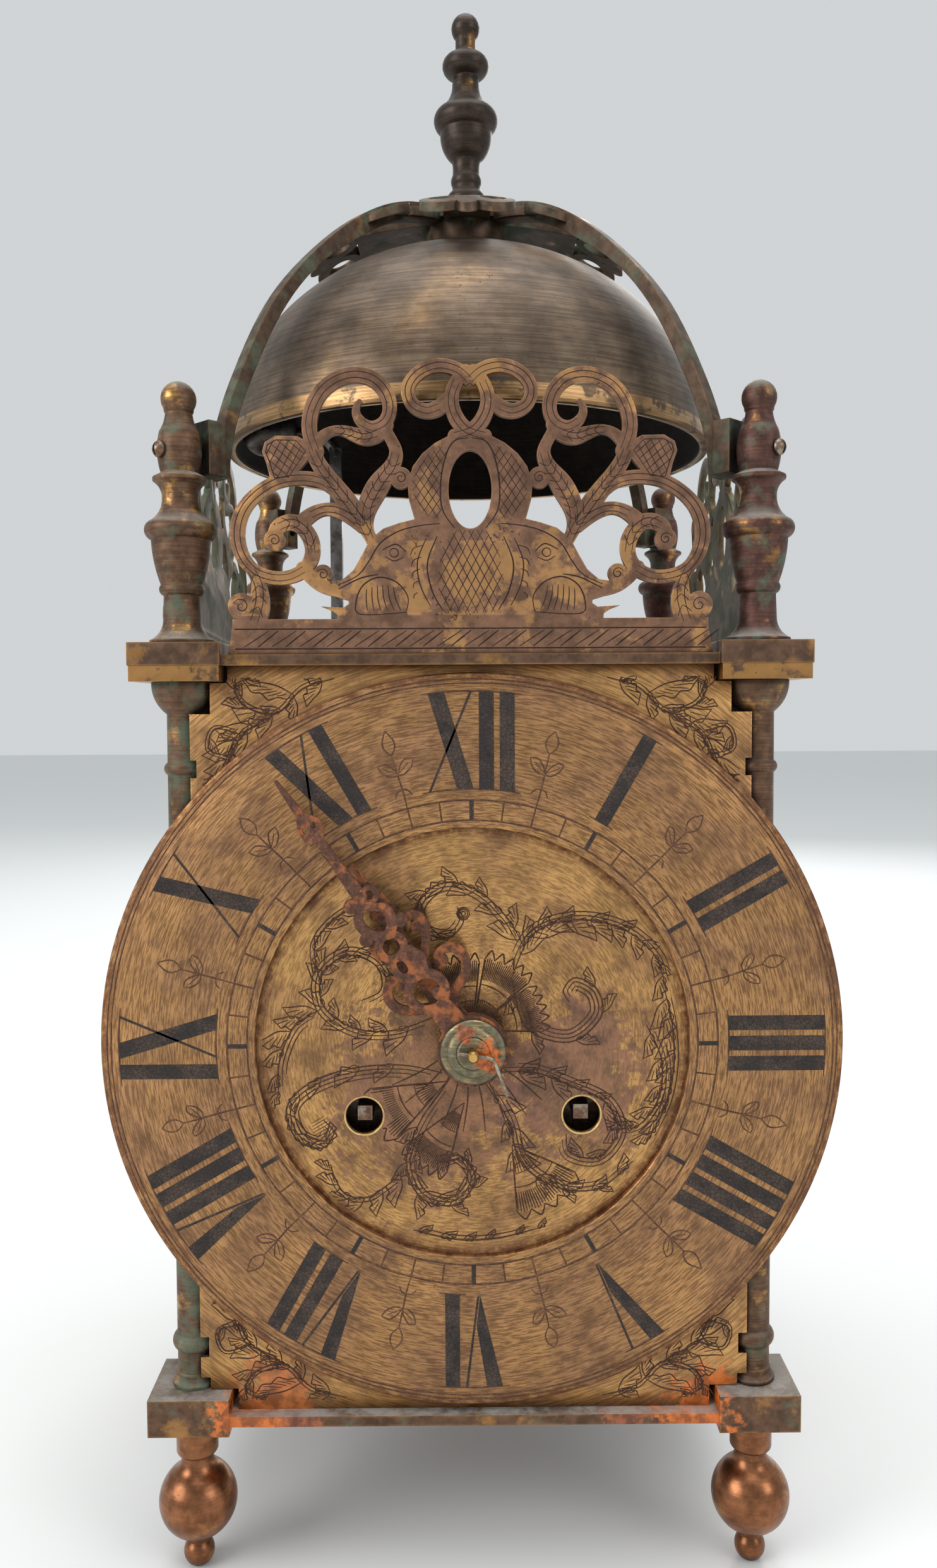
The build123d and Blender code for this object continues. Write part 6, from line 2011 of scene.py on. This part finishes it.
# ---- frets ----
@dataclass
class Frets:
    """Pierced frets with their cut lines: scales, fins, leaf veins and a hatched band."""

    half: float = 54.3

    def build(self, metals: Metals) -> list[Body]:
        """Ease the three frets and lay the same drawing on each.

        Args:
            metals: the finishes.

        Returns:
            The pieces made.
        """
        made = []
        drawing = Engraving()
        self.draw(drawing)
        lines = drawing.build("fret_lines", FRET_FRONT, PLATE_TOP)
        for side, turn_by in (("front", 0), ("left", -90), ("right", 90)):
            node = "fret_" + side
            fret = eased_copy(node, 0.14)
            dress(fret, metals.fret if side == "front" else metals.side_fret)
            made.append(fit(fret, "patinated_brass", node))
            cut = twin(lines, "fret_lines_" + side, Matrix.Rotation(math.radians(turn_by), 4, "Z"))
            dress(cut, metals.fret_cut)
            made.append(fit(cut, "patinated_brass"))
        bpy.data.objects.remove(lines)
        return made

    def draw(self, cut: Engraving) -> None:
        """Draw the whole fret: band, dolphins and scrolls, the right half mirrored to the left.

        Args:
            cut: the drawing that takes the lines.
        """
        edge = self.half - 1.6
        for level in (1.2, 5.6):
            cut.line([(-edge, level), (0, level), (edge, level)], 0.3, taper=False, smooth=False)
        for i in range(34):
            x = -edge + 2.0 + i * 3.08
            lean = 4.6 if i % 2 else 5.6
            cut.line([(x, 1.6), (x + lean / 2, 3.4), (x + lean, 5.2)], 0.36 if i % 2 else 0.26, smooth=False)
        half = Engraving(dice=cut.dice)
        self.draw_half(half)
        for path, width, taper in half.strokes:
            cut.line(path, width, taper, smooth=False)
            cut.line([(-x, z) for x, z in path], width, taper, smooth=False)
        middle = [
            (-5.5, 9), (5.5, 9), (7.5, 16), (6.2, 24), (3.5, 27.4), (-3.5, 27.4), (-6.2, 24), (-7.5, 16)
        ]
        for heading in (62, 118):
            cut.hatch(middle, heading, 1.7, 0.22)

    def draw_half(self, cut: Engraving) -> None:
        """Right half: one dolphin, its scrolls and leaves.

        Args:
            cut: the drawing that takes the lines.
        """
        neck = [
            (6.2, 29.5), (9.8, 30.5), (12.6, 34.0), (12.9, 38.0), (11.7, 41.6), (9.4, 44.0), (6.4, 46.2),
            (4.6, 44.4), (6.2, 40.0), (6.6, 34.0),
        ]
        for heading in (56, 124):
            cut.hatch(neck, heading, 1.5, 0.2)
        cut.line([(0.4, 47.6), (3.5, 46.9), (5.4, 43.6), (6.5, 38.0), (6.2, 32.0), (3.5, 27.8)], 0.34)
        cut.line(
            [(6.8, 28.8), (11.0, 28.4), (15.8, 27.2), (20.0, 24.6), (22.6, 20.6), (25.2, 17.4), (29.6, 15.3)],
            0.3,
        )
        cut.line([(7.4, 26.0), (9.6, 20.0), (8.6, 14.0), (6.2, 9.6)], 0.34)
        cut.line([(9.8, 25.6), (11.8, 20.4), (11.2, 15.2), (9.0, 10.6)], 0.3)
        for k in range(5):
            cut.line(
                [(10.6 + 0.3 * k, 24.0 - 2.6 * k), (12.6, 23.4 - 2.6 * k), (13.4 - 0.2 * k, 21.8 - 2.4 * k)],
                0.22,
            )
        cut.line(spiral((17.0, 22.4), 0.95, 0.95, 0, 1.0), 0.26, smooth=False)
        cut.line([(14.4, 22.6), (16.6, 24.3), (19.6, 23.0)], 0.3)
        cut.line([(14.9, 21.4), (17.0, 20.6), (19.0, 21.6)], 0.24)
        cut.line([(20.6, 17.6), (24.6, 16.8), (29.4, 14.4)], 0.32)
        fin = [(14.4, 9.2), (14.0, 12.6), (16.4, 15.8), (20.4, 17.0), (24.0, 15.2), (25.6, 11.4), (24.4, 8.8)]
        cut.line([*fin, fin[0]], 0.32)
        for k in range(6):
            cut.line(
                [
                    (15.6 + 1.5 * k, 9.6), (16.8 + 1.3 * k, 12.4),
                    (17.2 + 1.2 * k, 15.3 - 0.25 * (k - 2) ** 2 * 0.4),
                ],
                0.24,
            )
        for line, hatched in self.scrolls().values():
            path = [(x, z) for x, z, _ in line]
            wide = [w for _, _, w in line]
            smooth = curve(path, 5)
            mean = sum(wide) / len(wide)
            cut.line(beside(smooth, mean * 0.2), 0.22, smooth=False)
            cut.line(beside(smooth, -mean * 0.22), 0.2, smooth=False)
            if hatched:
                for k in range(2, len(smooth) - 3, 3):
                    (x, z), (x2, z2) = smooth[k], smooth[k + 2]
                    dx, dz = x2 - x, z2 - z
                    long = math.hypot(dx, dz) or 1.0
                    n = (-dz / long, dx / long)
                    for out in (mean * 0.42, -mean * 0.42):
                        bend = ((x + x2) / 2 + n[0] * out * 0.6, (z + z2) / 2 + n[1] * out * 0.6)
                        cut.line([(x, z), bend, (x2 + n[0] * out, z2 + n[1] * out)], 0.2)
        flag = [
            (36.4, 44.8), (38.6, 47.2), (43.0, 47.3), (44.9, 46.2), (45.3, 44.7), (44.4, 42.4), (43.4, 39.0),
            (40.2, 39.2),
        ]
        for heading in (40, 118):
            cut.hatch(flag, heading, 1.5, 0.22)
        cut.line([*flag, flag[0]], 0.26, smooth=False)
        for x, z, r in ((15.4, 38.9, 2.4), (43.6, 25.3, 2.4), (32.9, 17.7, 2.2), (51.2, 10.7, 3.0)):
            cut.line(spiral((x, z), r * 0.62, 0.3, 20, 1.4), 0.24, smooth=False)

    @staticmethod
    def scrolls() -> dict[str, tuple[list[tuple[float, float, float]], bool]]:
        """Middle lines and widths of the fret's scrolls, and whether each is a hatched leaf.

        Returns:
            For each scroll, its (x, z, width) places and whether it is a hatched leaf.
        """
        return {
            "top loop": (
                [
                    (0.0, 60.3, 3.0), (2.8, 62.6, 3.0), (7.0, 63.5, 3.0), (11.4, 61.8, 3.0),
                    (13.6, 58.6, 3.0), (12.8, 55.2, 3.0), (9.7, 53.6, 3.2), (6.7, 54.4, 3.4),
                ],
                False,
            ),
            "tail": (
                [(-3.4, 48.1, 3.0), (0.8, 49.5, 3.4), (3.4, 52.9, 3.4), (4.0, 56.6, 3.2), (2.8, 60.0, 3.0)],
                False,
            ),
            "ring": (
                [
                    (34.1, 45.0, 3.4), (35.5, 49.2, 3.4), (35.2, 53.3, 3.4), (33.0, 57.7, 3.4),
                    (29.8, 60.3, 3.4), (25.6, 61.5, 3.4), (21.4, 60.6, 3.4), (18.6, 57.7, 3.4),
                    (17.7, 54.3, 3.2), (18.8, 51.3, 3.0), (21.6, 50.0, 2.8), (24.2, 51.3, 2.4),
                ],
                False,
            ),
            "ring leaf": ([(20.4, 48.7, 3.6), (23.7, 48.0, 3.6), (27.0, 49.0, 2.6), (30.0, 49.4, 2.0)], True),
            "inner leaf": (
                [
                    (23.0, 28.4, 2.8), (22.9, 32.1, 4.2), (21.5, 35.4, 5.0), (19.5, 38.6, 4.6),
                    (17.4, 41.4, 3.6), (16.4, 44.4, 3.0),
                ],
                True,
            ),
            "stem": (
                [
                    (22.2, 25.4, 2.4), (23.7, 28.4, 3.2), (26.5, 32.6, 4.4), (30.0, 37.2, 4.0),
                    (33.1, 41.3, 3.6), (34.9, 45.0, 3.4),
                ],
                True,
            ),
            "outer scroll": (
                [
                    (30.3, 36.5, 3.0), (33.1, 38.3, 3.0), (37.3, 39.0, 3.0), (42.5, 38.3, 3.0),
                    (47.2, 35.7, 3.0), (50.5, 32.0, 3.2), (51.9, 27.4, 3.4), (51.2, 22.7, 3.2),
                    (48.7, 19.0, 3.0), (44.9, 17.2, 3.0), (40.7, 17.1, 3.0), (37.1, 18.8, 3.2),
                ],
                False,
            ),
            "outer curl": (
                [(35.2, 22.3, 3.4), (36.2, 26.7, 3.6), (39.4, 29.2, 3.6), (42.6, 28.3, 3.4)], True
            ),
            "middle scroll": (
                [(24.1, 28.3, 3.0), (28.4, 31.4, 3.2), (32.2, 32.1, 2.8), (35.4, 30.9, 3.2)], False
            ),
            "foot leaf": ([(48.9, 18.8, 2.6), (47.3, 15.3, 3.2), (47.2, 11.5, 4.6), (48.5, 7.2, 5.0)], True),
        }


# ---- case, hands and the rest ----
@dataclass
class Case:
    """Base and top plates with their blocks, doors, knobs, strap and screws."""

    def build(self, metals: Metals) -> list[Body]:
        """Ease the plates, dress the doors and knobs, and dress the strap and small parts.

        Args:
            metals: the finishes.

        Returns:
            The pieces made.
        """
        made = []
        for node, finish, width in (("base_plate", metals.base, 0.35), ("top_plate", metals.top, 0.3)):
            piece = eased_copy(node, width, 3)
            dress(piece, finish)
            made.append(fit(piece, "patinated_brass", node))
        for node in ("door_left", "door_right", "back_door", "knob_left", "knob_right", "knob_back"):
            dress(frame["nodes"][node], metals.door)
            made.append(frame["nodes"][node])
        dress(frame["nodes"]["bell_strap"], metals.strap)
        for node in ("strap_screws", "fret_screws", "bell_nut"):
            dress(frame["nodes"][node], metals.square)
        return made


@dataclass
class Hands:
    """Rusted hands, their domed collet and the wire pin."""

    def build(self, metals: Metals) -> list[Body]:
        """Ease and dress the hands, and dress the collet and the pin.

        Args:
            metals: the finishes.

        Returns:
            The pieces made.
        """
        made = []
        for node in ("hour_hand", "minute_hand"):
            piece = eased_copy(node, 0.18)
            dress(piece, metals.rust)
            made.append(fit(piece, "rusted_iron", node))
        dress(frame["nodes"]["hand_collet"], metals.collet)
        dress(frame["nodes"]["hand_pin"], metals.wire)
        return made


@dataclass
class Works:
    """Movement brass and steel, kept as packed and dressed."""

    steel: tuple[str, ...] = ("pallet_anchor", "hammer", "going_click", "strike_click")
    squares: tuple[str, ...] = ("going_winding_arbor", "strike_winding_arbor")

    def build(self, metals: Metals) -> list[Body]:
        """Dress every node that still has its packed finish.

        Args:
            metals: the finishes.

        Returns:
            The pieces made.
        """
        made = []
        for name, node in frame["nodes"].items():
            if node.hide_render or node.data.materials[0].name in FINISHED:
                continue
            if name in self.squares:
                finish = metals.square
            elif name in self.steel:
                finish = metals.steel
            else:
                finish = metals.works
            dress(node, finish)
            made.append(node)
        return made


FINISHED: set[str] = set()


# ---- studio ----
@dataclass
class Studio:
    """Pale floor, soft lights and a camera at the photograph's viewing angle."""

    eye: tuple[float, float, float] = (-2.4, -347.5, 202.65)
    yaw: float = 0.0063
    pitch: float = 0.0574
    roll: float = -0.0050
    focal: float = 27.97
    warm: Colour = (1.0, 0.985, 0.965)

    def build(self) -> None:
        """Set the stage."""
        self.floor()
        self.world()
        self.lights()
        self.camera()

    def floor(self) -> None:
        """A large plain floor under the feet."""
        clear_bench()
        bpy.ops.mesh.primitive_plane_add(size=12.0, location=(0, 0, 0))
        floor = bpy.context.object
        floor.name = "studio_floor"
        material = bpy.data.materials.new("Pale floor")
        material.use_nodes = True
        shader = material.node_tree.nodes["Principled BSDF"]
        shader.inputs["Base Color"].default_value = (*display(226, 228, 228), 1)
        shader.inputs["Roughness"].default_value = 0.55
        floor.data.materials.append(material)

    @staticmethod
    def world() -> None:
        """Even pale surroundings."""
        world = bpy.data.worlds.new("Pale room")
        world.use_nodes = True
        world.node_tree.nodes["Background"].inputs[0].default_value = (*display(222, 226, 228), 1)
        world.node_tree.nodes["Background"].inputs[1].default_value = 0.86
        bpy.context.scene.world = world

    def lights(self) -> None:
        """Soft panels overhead, at both sides and behind the camera."""
        panels = (
            ("overhead", (0.0, -0.1, 1.6), (0, 0, 0.15), 1.5, 13.0),
            ("left_panel", (-1.3, -0.8, 0.8), (0, 0, 0.2), 1.0, 13.0),
            ("right_panel", (1.2, -1.0, 0.9), (0, 0, 0.2), 0.8, 5.0),
            ("behind", (0.3, 1.2, 0.9), (0, 0, 0.25), 1.0, 8.0),
        )
        for name, spot, aim, size, power in panels:
            clear_bench()
            bpy.ops.object.light_add(type="AREA", location=spot)
            lamp = bpy.context.object
            lamp.name = name
            lamp.data.shape = "DISK"
            lamp.data.size = size
            lamp.data.energy = power
            lamp.data.color = self.warm
            lamp.rotation_euler = (Vector(aim) - Vector(spot)).to_track_quat("-Z", "Y").to_euler()

    def camera(self) -> None:
        """The camera, turned as the photograph's was."""
        cy, sy, cp, sp = math.cos(self.yaw), math.sin(self.yaw), math.cos(self.pitch), math.sin(self.pitch)
        right, ahead, up = Vector((cy, -sy, 0)), Vector(
            (cp * sy, cp * cy, -sp)
        ), Vector((sp * sy, sp * cy, cp))
        cr, sr = math.cos(self.roll), math.sin(self.roll)
        x_axis, y_axis = cr * right + sr * up, -sr * right + cr * up
        turned = Matrix((x_axis, y_axis, -ahead)).transposed().to_4x4()
        data = bpy.data.cameras.new("view")
        data.sensor_fit = "VERTICAL"
        data.sensor_width = 36.0
        data.sensor_height = 36.0
        data.lens = self.focal
        data.clip_start = 0.01
        camera = bpy.data.objects.new("view", data)
        bpy.context.scene.collection.objects.link(camera)
        camera.matrix_world = Matrix.Translation(Vector(self.eye) * MM) @ turned
        bpy.context.scene.camera = camera


def main() -> None:
    """Build and dress the clock, report each piece and set up the studio."""
    logging.basicConfig(level=logging.INFO, format="%(name)s: %(message)s")
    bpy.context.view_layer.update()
    metals = Metals()
    FINISHED.update(m.name for m in vars(metals).values())
    for maker in (
        Case(), Pillars(), Feet(), Finials(), Bell(), HourRing(), DialPlate(), Frets(), Hands(), Works()
    ):
        made = maker.build(metals)
        for piece in made if isinstance(made, list) else [made]:
            LOG.info("%s: %s, %d faces", type(maker).__name__, piece.name, len(piece.data.polygons))
    clear_bench()
    Studio().build()
    bpy.context.scene.view_settings.view_transform = "Standard"


if __name__ == "__main__":
    main()
